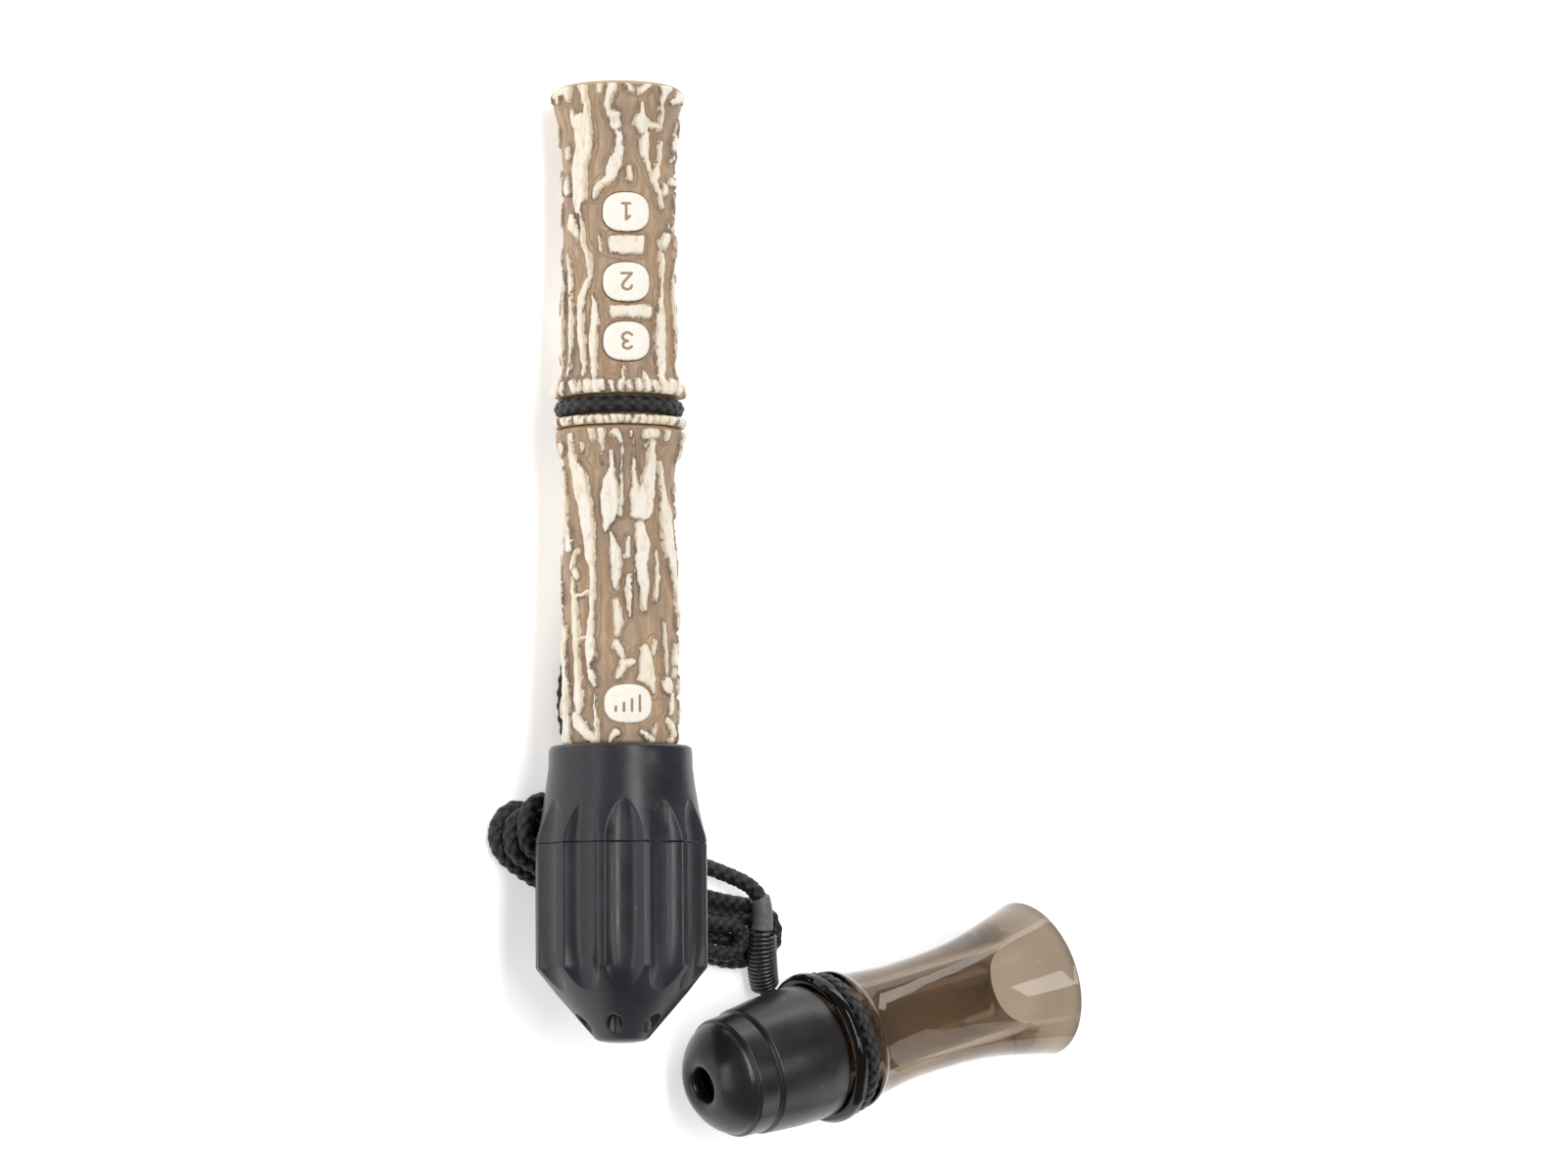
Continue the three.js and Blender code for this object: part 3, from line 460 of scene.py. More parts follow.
def smooth_run(points, step=0.25, passes=24):
    """A centripetal spline through the points, evened out to steps of that length."""
    p = np.array(points, float)
    p = np.vstack([2 * p[0] - p[1], p, 2 * p[-1] - p[-2]])
    out = []
    for i in range(1, len(p) - 2):
        q = p[i - 1:i + 3]
        t = np.concatenate([[0], np.cumsum(np.sqrt(np.linalg.norm(np.diff(q, axis=0), axis=1)))])
        u = np.linspace(t[1], t[2], 40, endpoint=False)[:, None]
        a1 = (t[1] - u) / (t[1] - t[0]) * q[0] + (u - t[0]) / (t[1] - t[0]) * q[1]
        a2 = (t[2] - u) / (t[2] - t[1]) * q[1] + (u - t[1]) / (t[2] - t[1]) * q[2]
        a3 = (t[3] - u) / (t[3] - t[2]) * q[2] + (u - t[2]) / (t[3] - t[2]) * q[3]
        b1 = (t[2] - u) / (t[2] - t[0]) * a1 + (u - t[0]) / (t[2] - t[0]) * a2
        b2 = (t[3] - u) / (t[3] - t[1]) * a2 + (u - t[1]) / (t[3] - t[1]) * a3
        out.append((t[2] - u) / (t[2] - t[1]) * b1 + (u - t[1]) / (t[2] - t[1]) * b2)
    out = np.vstack(out + [p[-2][None]])

    def even(c):
        d = np.concatenate([[0], np.cumsum(np.linalg.norm(np.diff(c, axis=0), axis=1))])
        s = np.linspace(0, d[-1], int(round(d[-1] / step)) + 1)
        return np.stack([np.interp(s, d, c[:, k]) for k in range(3)], 1)

    out = even(out)
    for _ in range(passes):
        out[1:-1] = 0.25 * out[:-2] + 0.5 * out[1:-1] + 0.25 * out[2:]
    return even(out)


def run_frames(c):
    """Tangents and twist-free side directions along a run."""
    t = np.gradient(c, axis=0)
    t /= np.linalg.norm(t, axis=1)[:, None]
    n = np.empty_like(t)
    ref = np.array([0, 0, 1.0])
    v = ref - t[0] * t[0].dot(ref)
    n[0] = v / np.linalg.norm(v)
    for i in range(1, len(c)):
        v = n[i - 1] - t[i] * t[i].dot(n[i - 1])
        n[i] = v / np.linalg.norm(v)
    return t, n, np.cross(t, n)


def swept(name, c, radius, count, material, uv=None, attrs=None, oval=1.0, side=None):
    """A round run with closed ends; radius is one number, one per row, or one per point."""
    t, n, b = run_frames(c)
    if side is not None:
        n = np.cross(side, t)
        n /= np.linalg.norm(n, axis=1)[:, None]
        b = np.cross(t, n)
    a = np.linspace(0, 2 * math.pi, count, endpoint=False)
    r = np.asarray(radius, float)
    r = np.broadcast_to(r if r.ndim == 2 else r.reshape(-1, 1), (len(c), count))
    pts = (c[:, None] + (r * np.cos(a))[..., None] * n[:, None]
           + (r * np.sin(a) * oval)[..., None] * b[:, None]).reshape(-1, 3)
    faces = grid_faces(len(c), count).tolist()
    faces.append(list(range(count)))
    faces.append([len(c) * count - 1 - k for k in range(count)])
    return outward(make_mesh(name, pts, faces, material, uv=uv, attrs=attrs))


def braid(c, count, strands=4, pitch=10.4):
    """Radius of a braided run: strands of two hands that pass over and under each other."""
    s = np.concatenate([[0], np.cumsum(np.linalg.norm(np.diff(c, axis=0), axis=1))])
    a = np.linspace(0, 1, count, endpoint=False)[None, :]
    l = (s / pitch)[:, None]
    A, B = strands * (a - l), strands * (a + l)
    ia, ib = np.floor(A), np.floor(B)
    ha = np.sqrt(np.clip(1 - (2 * (A - ia) - 1) ** 2, 0, 1))
    hb = np.sqrt(np.clip(1 - (2 * (B - ib) - 1) ** 2, 0, 1))
    ea = np.where(ia % 2 == 0, 1, -1) * np.cos(math.pi * (B - 0.5))
    eb = -np.where(ib % 2 == 0, 1, -1) * np.cos(math.pi * (A - 0.5))
    h = np.maximum(0.50 * ha + 0.27 * ea, 0.50 * hb + 0.27 * eb)
    uv = np.stack(np.broadcast_arrays(a * 2 - (s / pitch)[:, None] * 0, (s * MM)[:, None]), -1)
    return h, uv.reshape(-1, 2)


cord_line = smooth_run(CORD_POINTS)
# the braid's crests lie on the table
free = 1 - smoothstep((cord_line[:, 0] + 34.6) / 1.6) * (1 - smoothstep((cord_line[:, 0] + 22.4) / 3))
cord_line[:, 2] += 0.27 * free * np.clip((9 - cord_line[:, 2]) / 5, 0, 1)
RELIEF, cord_uv = braid(cord_line, 28)
cord = swept("lanyard_cord", cord_line, CORD_D / 2 - 0.52 + RELIEF, 28, M_CORD, uv=cord_uv,
             attrs={"dip": (RELIEF / 0.77).ravel()})
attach(cord, "call_body")
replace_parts(cord, "main_loop", "bleat_loop", "lanyard_lead", "lanyard_hank", "call_drop", "bleat_loop_leg")


def part_of_run(a, b):
    """The stretch of the cord between the points nearest to a and b."""
    i = int(np.argmin(np.linalg.norm(cord_line - np.array(a), axis=1)))
    j = int(np.argmin(np.linalg.norm(cord_line - np.array(b), axis=1)))
    return cord_line[min(i, j):max(i, j) + 1]


# the sleeve above the spring, shrunk on the cord
run = part_of_run((59.84, -1.45, 6.61), (66.84, -1.05, 6.51))
k = np.linspace(0, 1, len(run))
lip = 0.08 * np.exp(-((k - 0.02) / 0.03) ** 2) + 0.10 * np.exp(-((k - 0.98) / 0.03) ** 2)
ang = np.linspace(0, 1, 32, endpoint=False)
wave = 0.05 * vnoise(ang[None, :] * 6, (k * 9)[:, None], 5, 6)
end = 1 - 0.16 * (np.clip(1 - k / 0.012, 0, 1) ** 2 + np.clip(1 - (1 - k) / 0.012, 0, 1) ** 2)
sleeve = swept("spring_sleeve", run, ((2.15 + lip) * end)[:, None] + wave, 32, M_SHRINK)
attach(sleeve, "call_body")
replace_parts(sleeve, "call_shrink_sleeve")

# the oval sleeve on the two strands behind the barrel
run = np.stack([np.linspace((-32.96, -35.24, 1.88)[i], (-22.46, -35.68, 1.88)[i], 45) for i in range(3)], 1)
k = np.linspace(0, 1, len(run))
ang = np.linspace(0, 2 * math.pi, 40, endpoint=False)
shape = (np.abs(np.cos(ang) / 1.85) ** 2.6 + np.abs(np.sin(ang) / 3.5) ** 2.6) ** (-1 / 2.6)
end = 1 - 0.06 * (np.clip(1 - k / 0.03, 0, 1) ** 2 + np.clip(1 - (1 - k) / 0.03, 0, 1) ** 2)
pinch = 1 - 0.02 * np.sin(k * 9)
loop_sleeve = swept("groove_sleeve", run, shape[None, :] * (end * pinch)[:, None], 40, M_SHRINK)
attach(loop_sleeve, "call_body")
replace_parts(loop_sleeve, "main_shrink_sleeve")

# the coil spring on the strand to the bleat call
run = part_of_run((67.19, -1.03, 6.51), (78.84, 2.2, 3.31))
t, n, b = run_frames(run)
TURNS, WIRE = 14.5, 0.40
w = np.linspace(0, 1, int(TURNS * 26))
q = w * (len(run) - 1)
i0 = np.clip(q.astype(int), 0, len(run) - 2)
f = (q - i0)[:, None]
mid, nn, bb = (v[i0] * (1 - f) + v[i0 + 1] * f for v in (run, n, b))
turn = 2 * math.pi * TURNS * w
coil_r = 2.72 + 0.14 * np.sin(math.pi * w)
helix = mid + (coil_r * np.cos(turn))[:, None] * nn + (coil_r * np.sin(turn))[:, None] * bb
spring = swept("cinch_coil", helix, WIRE, 10, M_SPRING)
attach(spring, "call_body")
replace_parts(spring, "cinch_spring")

# ------------------------------------------------------- floor and lights
FLOOR_Z = 0.0


def table_material():
    """A white back-lit table."""
    s = Shade("table_white", Roughness=0.8)
    grain = s.noise(s.where(), 30, 4.0, 0.6)
    s.set(Base_Color=s.mix(grain, lin(244, 244, 244), lin(250, 250, 250)))
    s.b.inputs["Emission Color"].default_value = (1.0, 1.0, 1.0, 1.0)
    s.b.inputs["Emission Strength"].default_value = 0.5
    return s.m


n = 60
gx, gy = np.meshgrid(np.linspace(-1500, 1500, n), np.linspace(-1500, 1500, n), indexing="ij")
floor = make_mesh("table_top", np.stack([gx, gy, np.full_like(gx, FLOOR_Z)], -1).reshape(-1, 3),
                  grid_faces(n, n, close_cols=False), table_material())


def softbox(name, direction, distance, size, power, tint=(1, 1, 1)):
    d = Vector(direction).normalized()
    data = bpy.data.lights.new(name, "AREA")
    data.shape = "RECTANGLE"
    data.size, data.size_y = size
    data.energy = power
    data.color = tint
    ob = bpy.data.objects.new(name, data)
    scene.collection.objects.link(ob)
    x = Vector((1, 0, 0))
    x = (x - d * x.dot(d)).normalized()
    ob.matrix_world = Matrix.Translation(TARGET + d * distance) @ Matrix((x, d.cross(x), d)).transposed().to_4x4()
    return ob


softbox("light_near", (0.0, -1.40, 0.40), 1.0, (1.2, 0.20), 2.4)
softbox("light_over", (-0.45, -0.35, 1.35), 1.1, (1.2, 0.20), 7.0)
softbox("light_back", (0.05, 0.30, 1.40), 1.1, (0.45, 0.16), 1.4)
softbox("light_head", (-1.30, 0.42, 0.17), 0.75, (1.3, 0.20), 3.2)
softbox("light_far", (0.50, 0.72, 0.42), 1.2, (1.0, 0.7), 3.4)
world = bpy.data.worlds.new("studio")
scene.world = world
world.use_nodes = True
bg = next(nd for nd in world.node_tree.nodes if nd.type == "BACKGROUND")
bg.inputs["Color"].default_value = (1.0, 1.0, 1.0, 1.0)
bg.inputs["Strength"].default_value = 0.26
scene.view_settings.view_transform = "Standard"


# ---------------------------------------------------------- antler barrels
FACE = math.radians(9.7)          # the direction that faces the camera
REF_R = 11.6                      # radius on which the surface is unrolled
ROUND = 2 * math.pi * REF_R

# Ridges as strokes of (across, along, half width) in mm, seen from the front.
UPPER_RIDGES = [
    [(-12, .9, .6), (-12, 3.4, .35)], [(-10.4, .6, .7), (-10, 3.7, .35)], [(-12.3, 1.6, .6), (-9.8, 1.4, .6)],
    [(-7.3, .4, .7), (-6.5, 2.6, .6), (-6.2, 5.2, .6), (-6.2, 8, .9)], [(-3.5, .5, .6), (-3.3, 2.1, .45)],
    [(-.8, .2, .95), (-.9, 2, .9), (-1.6, 4, .6), (-1.7, 6, .5), (-1.4, 7.2, .5)],
    [(2.1, .7, .4), (2.8, 1.8, .45), (3.2, 2.3, .3)], [(6.5, .9, .7), (5.4, 2.3, .7)],
    [(10, .8, 1.1), (9.6, 2.8, .7), (9.3, 4.6, .35), (9.2, 7.5, .3), (8.9, 9.3, .3)], [(12.9, 2.4, .5), (11.3, 4, .4)],
    [(-7, 8.8, 1.8), (-6.8, 11, 1.85), (-6.6, 13, 1.75), (-7.2, 15, 1.6), (-7.6, 17, 1.4), (-7.8, 20, 1.35), (-7.7, 23, 1.3), (-7.7, 26, .85)],
    [(-9.1, 6.2, .4), (-8.7, 8.2, .8)], [(-10, 13.3, .35), (-10, 14.8, .4)], [(-10.3, 19.6, .4), (-10.1, 22, .6)],
    [(-9.2, 27.4, .6), (-9.1, 29.3, .9), (-8.3, 31.4, .5)],
    [(-7.4, 26.5, .4), (-7.3, 29, .4), (-7.2, 32, .45), (-6.7, 34, .5), (-6, 36, .5), (-5.6, 38, .5), (-5.6, 40, .5), (-6.4, 42, .75),
     (-7.2, 44, .85), (-7.6, 46.5, .75), (-7.6, 50, .65), (-7.4, 53, .7), (-7.2, 56, .55), (-6.9, 60, .35)],
    [(-.3, 7.4, 1.1), (-.2, 9.2, 1.2)],
    [(.5, 10.8, .8), (.5, 13, .95), (.6, 15, 1), (-.3, 16.8, 1.6), (-.9, 18.3, 1.4), (-1.3, 20.2, .9), (-3, 20.9, .8), (-4.1, 22.3, .75), (-4.4, 23.8, .55)],
    [(5.3, 5, .35), (5.2, 7, .7), (5.2, 8.6, 1.5), (5.3, 10, 1)], [(6, 9, .6), (8.3, 9.3, .45)],
    [(5.8, 11, .8), (5.7, 13, .95), (5.7, 15, .9), (6.3, 16.8, .5), (6.9, 18.6, .45), (7.4, 20.2, .6)],
    [(8.2, 17.4, .5), (8, 19, .75), (7.7, 20.3, .6), (8.2, 22, .55), (8.8, 24, .55), (9.2, 25.3, .35)],
    [(9.7, 21.5, .5), (9.6, 22.3, .5)], [(9, 12.5, .4), (8.8, 15, .45), (8.6, 17, .35)], [(2.6, 18, .6), (2.7, 20.2, .6)],
    [(11.9, 11, .5), (11.4, 12.3, .6)], [(11.4, 14.8, .3), (11, 15.5, .25)], [(10.9, 19.9, .4), (11.8, 19.9, .5), (12.3, 20.6, .3)],
    [(11.4, 27.3, .4), (10.9, 29.5, .5)],
    [(-4.9, 43.8, .3), (-4.6, 46, .75), (-4.6, 48.5, .9), (-4.9, 52, .9), (-5, 55, .9), (-4.9, 58, .7), (-4.8, 60.6, .5)],
    [(-10.2, 35.3, .25), (-9.8, 38, .4), (-9.7, 40, .5), (-9.6, 41.8, .65), (-9.8, 43, .3)],
    [(-9.7, 44, .3), (-9.5, 46, .45), (-9.6, 50, .4), (-9.7, 54, .35), (-10, 57, .3), (-10.4, 60.6, .3)],
    [(-11.3, 38.5, .3), (-11.2, 42, .35), (-11.2, 46, .35), (-11.3, 50, .3), (-11.4, 58, .25)],
    [(10.1, 31.7, .6), (9.5, 33, .8), (9.7, 34, .3)],
    [(9, 35.3, .35), (9.1, 37, .6), (9, 39, .45), (8.9, 42, .4), (8.8, 45, .6), (8.7, 48, .9), (8.6, 52, 1), (8.6, 55, 1), (8.7, 58, .95), (8.7, 60.5, .7)],
    [(11.4, 36, .35), (11.2, 39, .35), (11.4, 43, .35), (11.6, 48, .35), (11.7, 54, .35), (11.7, 60, .3)],
    [(1.3, 58.7, .35), (1.1, 60.5, .4), (1, 62, .6)], [(5.4, 59.5, .25), (6, 61, .6), (6.3, 62.5, .7)],
    [(-3.5, 31.8, .35), (-3.4, 34.8, .35)],
    # worn patches between the pads
    [(-1.0, 32.4, .75), (4.9, 32.4, .75)], [(-1.0, 33.1, .8), (4.9, 33.1, .8)], [(-1.0, 33.8, .8), (4.9, 33.8, .8)], [(-1.0, 34.4, .8), (4.8, 34.4, .8)],
    [(-.9, 34.9, .75), (4.8, 34.9, .75)], [(-1.0, 46.7, .7), (6.3, 46.7, .7)], [(-1.0, 47.3, .7), (6.3, 47.3, .7)], [(-.9, 47.9, .65), (6.4, 47.9, .7)],
]
UPPER_BEADS = [-12.7, -11.3, -9.4, -7.7, -6.2, -4.6, -3.2, -1.3, .6, 2.3, 4.4, 6.1, 7.6, 9.3, 10.9, 12.3]
LOWER_RIDGES = [
    [(-9.6, 72.3, .5), (-9.6, 76, .5), (-9, 78, .9), (-8.1, 80, 1.5), (-7.6, 83, 1.5), (-7, 86, 1.4), (-6.4, 90, 1.35), (-5.9, 94, 1.2), (-5.8, 97, 1.05),
     (-5.3, 100, .7), (-5.3, 103, .65), (-5.4, 107, .6), (-5.7, 111, .75), (-5.8, 113.5, .85), (-6, 115, 1), (-5.6, 117, 1.1), (-6, 119.2, .6)],
    [(-11.2, 79.5, .25), (-11, 84, .4), (-10.9, 88, .5), (-10.5, 91.5, .6), (-9.9, 95, .6)],
    [(-8.8, 96, .45), (-9.2, 97.5, .5), (-9.6, 99.4, .35)], [(-8.8, 100.2, .6), (-8.5, 101.2, .5)],
    [(-9.4, 101.5, .35), (-9.2, 104, .5), (-8.9, 108, .65), (-8.8, 112, .7), (-8.7, 116, .6), (-8.5, 120, .55), (-8.3, 123.5, .8), (-8.2, 126, 1), (-8.2, 128.3, .6)],
    [(-8.8, 105.2, .4), (-7.4, 104.8, .4), (-6, 104.2, .4)], [(-8.4, 114, .4), (-6.6, 113.4, .4)],
    [(-8.8, 129.6, .8), (-8.2, 131, 1), (-7.2, 132.2, 1), (-6.2, 133.4, 1), (-5.4, 134.6, .8)],
    [(-11.1, 112.2, .6), (-11.3, 116, .6), (-10.9, 120, .6), (-10.7, 124, .7), (-10.9, 128, .6), (-10.7, 134.6, .7)],
    [(-5.8, 120.4, .7), (-5.4, 121.8, .8), (-5, 123, .6)], [(-4.9, 125.3, .3), (-4.9, 128, .45), (-4.7, 131, .45), (-4.6, 134.6, .45)],
    [(-11.5, 74.2, .5), (-11.5, 74.8, .5)], [(-5.6, 71.4, .6), (-5.4, 73, .5)], [(-3.5, 71.4, .8), (-3.3, 72.8, .7), (-3.1, 75.5, .3)],
    [(-3.4, 76.5, .2), (-3.4, 78.5, .2)], [(-7.4, 74, .3), (-7.4, 75.8, .3)],
    [(-.4, 72.2, .9), (.6, 73, .7), (.9, 75, .35), (.9, 78, .35), (.8, 82, .4), (.6, 86, .5), (.4, 89, .5)], [(2.7, 71.9, .35), (2.7, 73, .35)],
    [(6, 72.4, 1), (7.6, 72.3, .9)], [(5.7, 74.5, .3), (5.7, 74.9, .3)], [(7.1, 74.4, .6), (6.9, 76.6, .6)], [(10.2, 71.8, .5), (9.9, 73.2, .4)],
    [(13.3, 72, .5), (13.1, 73.5, .4)],
    [(-1.3, 75.8, .5), (-1.2, 78, .65), (-1.3, 80, .9), (-1.7, 82, 1.5), (-1.8, 85, 1.95), (-1.7, 88, 1.8), (-2.1, 90, 1.1), (-2.7, 92, .4)],
    [(3.2, 73.5, .3), (3.3, 77, .4), (3.2, 80, .5), (3.4, 83, .85), (3.5, 86, 1.1), (3.5, 88.6, 1)],
    [(6.9, 76.8, .8), (6.7, 79, 1.0), (6.3, 81.5, 1.35), (5.8, 84, 1.6), (5.4, 86, 1.9), (5.2, 88, 1.75)],
    [(8.5, 78, .4), (8.7, 81, .5), (9, 85, .75), (9.5, 89, 1), (9.9, 92.5, 1.1), (10.4, 95.5, 1), (10.9, 98.5, .8), (11.3, 101.5, .6), (11.4, 104, .4)],
    [(-.4, 115.1, .8), (.4, 116.6, .75), (.8, 117.7, .5)], [(.7, 118.7, .6), (1.4, 119, .7), (2.9, 118.6, .75)], [(1, 119.6, .7), (.4, 121, .7), (-.3, 121.9, .6)],
    [(5.3, 116, .9), (5.6, 118, 1.2), (5.6, 120, 1.6), (5.7, 122, 1.7), (6.5, 123.6, .8), (7.1, 124.7, .35)], [(7.4, 114.4, .4), (7.1, 116.6, .4)],
    [(9.3, 110.5, .2), (9.5, 115, .25), (9.7, 121, .2)], [(9.6, 122.9, .95), (9.6, 123.5, .95)], [(10.4, 124.9, .45), (10.3, 127, .5), (10, 128.7, .35)],
    [(9.5, 130.3, .45), (10.2, 131.6, .6), (10.6, 132.8, .45)], [(10.1, 134.2, .5), (10.1, 134.7, .5)],
    [(11.8, 105, .5), (11.6, 107.5, .6)], [(11.7, 109.8, .5), (11.9, 111, .4)], [(11.4, 115, .5), (11.3, 118, .5)], [(11.2, 120, .3), (11.1, 121.2, .25)],
    [(-.4, 132.8, .8), (-1.4, 133.8, .7), (-2, 134.8, .6)], [(4.6, 132.8, .65), (5.6, 133.5, .7), (6.7, 134.5, .6)], [(7.3, 131.5, .3), (7.1, 133, .3)],
    # plain ridges where the photographed part carries a mark
    [(-1.5, 92.5, .5), (-.8, 95.5, 1.1), (-.4, 99, 1.2), (-.7, 103.5, .6)],
    [(4.4, 91, 1.0), (4.9, 94.5, 1.5), (4.6, 98.5, 1.3), (5.1, 103, 1.15), (5.3, 108, .5)],
    [(2.1, 93.5, .5), (1.9, 97, .65)], [(2.3, 101, .55), (2, 105.5, .9), (2.4, 109, .45)],
    [(-.5, 106.5, .6), (.1, 110.5, .95), (-.3, 113, .35)], [(7.6, 96, .3), (7.9, 101, .5), (7.6, 106, .3)],
]
LOWER_BEADS = [-12.6, -11.2, -9.8, -8.3, -6.9, -5.3, -3.9, -2.3, -.8, .7, 2.3, 3.9, 5.3, 6.8, 8.2, 9.6, 11, 12.2, 13]

UPPER_SHAPE = [(0, 12.6), (1, 12.95), (1.8, 13.0), (4.4, 12.95), (6.6, 12.3), (9, 11.6), (13, 11.3), (58, 11.3), (60.2, 12.0), (61.4, 12.9), (64, 12.95)]
LOWER_SHAPE = [(70.6, 12.9), (71.2, 13.0), (72.6, 12.7), (74.8, 12.0), (77, 11.4), (80, 11.1), (86, 10.95), (92, 11.05), (97.5, 11.45), (102, 11.5), (108, 11.3), (133.4, 11.3), (136, 11.2)]


def shape_at(table, s):
    return np.interp(s, [a for a, _ in table], [b for _, b in table])


def unrolled(stroke, table):
    """A front-view stroke laid on the unrolled surface."""
    p = np.array(stroke, float)
    r = shape_at(table, p[:, 1]) + 0.45
    c = np.clip(p[:, 0] / r, -0.985, 0.985)
    lean = np.clip(np.sqrt(1 - c * c), 0.42, 1)
    return np.stack([-np.arcsin(c) * REF_R, p[:, 1], p[:, 2] / lean], 1)


def unseen_ridges(lo, hi, seed, table):
    """Ridges of the same kind for the sides that the photograph doesn't show."""
    rng = np.random.default_rng(seed)
    out = []
    edge = math.radians(74) * REF_R
    columns = np.arange(edge + 1.2, ROUND - edge - 0.8, 2.9)
    for col in columns:
        s = lo + rng.uniform(0, 4)
        drift = rng.uniform(-0.5, 0.5)
        outline = min(col, ROUND - col) < math.radians(106) * REF_R
        while s < hi - 1.5:
            run = min(rng.choice([rng.uniform(2, 5), rng.uniform(8, 24)]), hi - s)
            peak = rng.choice([rng.uniform(0.3, 0.6), rng.uniform(0.6, 1.45)])
            if outline:      # short knobs with wide gaps along the outline
                run, peak = min(rng.uniform(1.2, 4.5), hi - s), rng.uniform(0.4, 0.95)
            k = max(2, int(run / 2.2))
            pts = []
            for i in range(k + 1):
                f = i / k
                drift = np.clip(drift + rng.uniform(-0.45, 0.45), -1.2, 1.2)
                pts.append((col + drift, s + run * f,
                            max(0.22, peak * (0.35 + 0.65 * math.sin(math.pi * (0.08 + 0.84 * f)) ** 0.7) * rng.uniform(0.85, 1.12))))
            out.append(np.array(pts))
            s += run + (rng.uniform(2.0, 7.0) if outline else rng.uniform(0.7, 3.2))
    return out


def beads(xs, lo, hi, seed, table):
    """The row of knobs on a ring, as seen in front and alike behind."""
    rng = np.random.default_rng(seed)
    out = []
    for x in xs:
        w, lean = rng.uniform(0.45, 0.85), rng.uniform(-0.5, 0.5)
        out.append(unrolled([(x, lo + rng.uniform(-.25, .15), w), (x + lean, hi + rng.uniform(-.15, .25), w * rng.uniform(.7, 1.1))], table))
    at = math.radians(86) * REF_R
    while at < ROUND - math.radians(86) * REF_R:
        w = rng.uniform(0.5, 1.0)
        out.append(np.array([(at, lo, w), (at + rng.uniform(-.4, .4), hi, w * rng.uniform(.7, 1.1))]))
        at += rng.uniform(1.6, 2.5)
    return out


def relief(arc, s, strokes):
    """Distance to the nearest ridge's edge (negative inside) and ridge height, on the unrolled surface."""
    cells = 36
    wx = arc / ROUND * cells
    a = arc + 0.20 * vnoise(wx * 2, s / 1.3, 11, cells * 2) + 0.10 * vnoise(wx * 5, s / 0.7, 12, cells * 5)
    z = s + 0.22 * vnoise(wx * 2, s / 1.3, 13, cells * 2) + 0.08 * vnoise(wx * 5, s / 0.7, 14, cells * 5)
    sd = np.full(arc.shape, 1.6)
    half = np.full(arc.shape, 0.5)
    rows_s = s[:, 0]
    for st in strokes:
        for i in range(len(st) - 1):
            p, q = st[i], st[i + 1]
            reach = max(p[2], q[2]) + 3.0
            lo, hi = min(p[1], q[1]) - reach, max(p[1], q[1]) + reach
            r0, r1 = np.searchsorted(rows_s, lo), np.searchsorted(rows_s, hi)
            if r1 <= r0:
                continue
            mid = 0.5 * (p[0] + q[0])
            da = (a[r0:r1] - mid + ROUND / 2) % ROUND - ROUND / 2
            cols = np.abs(da[0]) < abs(p[0] - q[0]) / 2 + reach + 1
            if not cols.any():
                continue
            da, dz = da[:, cols] - (p[0] - mid), z[r0:r1][:, cols] - p[1]
            u, v = q[0] - p[0], q[1] - p[1]
            t = np.clip((da * u + dz * v) / max(u * u + v * v, 1e-9), 0, 1)
            w = p[2] + (q[2] - p[2]) * t
            d = np.hypot(da - t * u, dz - t * v) - w
            block_sd, block_half = sd[r0:r1], half[r0:r1]
            old, oldh = block_sd[:, cols], block_half[:, cols]
            better = d < old
            block_half[:, cols] = np.where(better, w, oldh)
            block_sd[:, cols] = np.where(better, d, old)
    inside = np.clip(-sd, 0, None)
    shoulder = np.clip(inside / np.minimum(np.maximum(half, 0.25), 0.62), 0, 1)
    high = 0.42 + 0.34 * np.clip(half, 0.2, 1.4)
    h = high * np.sqrt(np.clip(1 - (1 - shoulder) ** 2, 0, 1))
    foot = 0.16 * np.exp(-np.clip(sd, 0, None) / 0.5)
    furrow = 0.15 * vnoise(wx * 1.0, s / 9.0, 21, cells) + 0.12 * vnoise(wx * 2, s / 6.0, 25, cells * 2) + 0.07 * vnoise(wx * 4, s / 3.0, 24, cells * 4)
    h += np.where(sd > 0, foot + furrow * smoothstep(sd / 0.5), 0.16)
    h += 0.035 * vnoise(wx * 8, s / 1.6, 22, cells * 8)
    side = smoothstep((np.abs(arc) - 9.5) / 4.5)
    sd = sd + 0.14 * side
    h += side * (0.34 * vnoise(wx / 3, s / 4.6, 27, cells // 3) + 0.20 * vnoise(wx / 2, s / 2.3, 28, cells // 2))
    h += (0.10 * vnoise(wx * 2, s / 2.6, 26, cells * 2) + 0.05 * vnoise(wx * 6, s / 1.0, 23, cells * 6)) * smoothstep(-sd / 0.3)
    return sd, h, shoulder


def pad_level(arc, s, centre_s, half_a, half_s, power=2.5):
    """1 on the outline of a rounded pad, less inside; the pads lie at angle 0."""
    a = (arc + FACE * REF_R) / half_a
    return (np.abs(a) ** power + np.abs((s - centre_s) / half_s) ** power) ** (1 / power)


WINDOW_HALF = (5.12, 4.22)
PADS = [(27.0, "fawn_push", "fawn_button", "1"), (41.3, "doe_push", "doe_button", "2"), (53.4, "young_buck_push", "young_buck_button", "3")]
VOLUME_PAD = 127.1
AROUND = 300


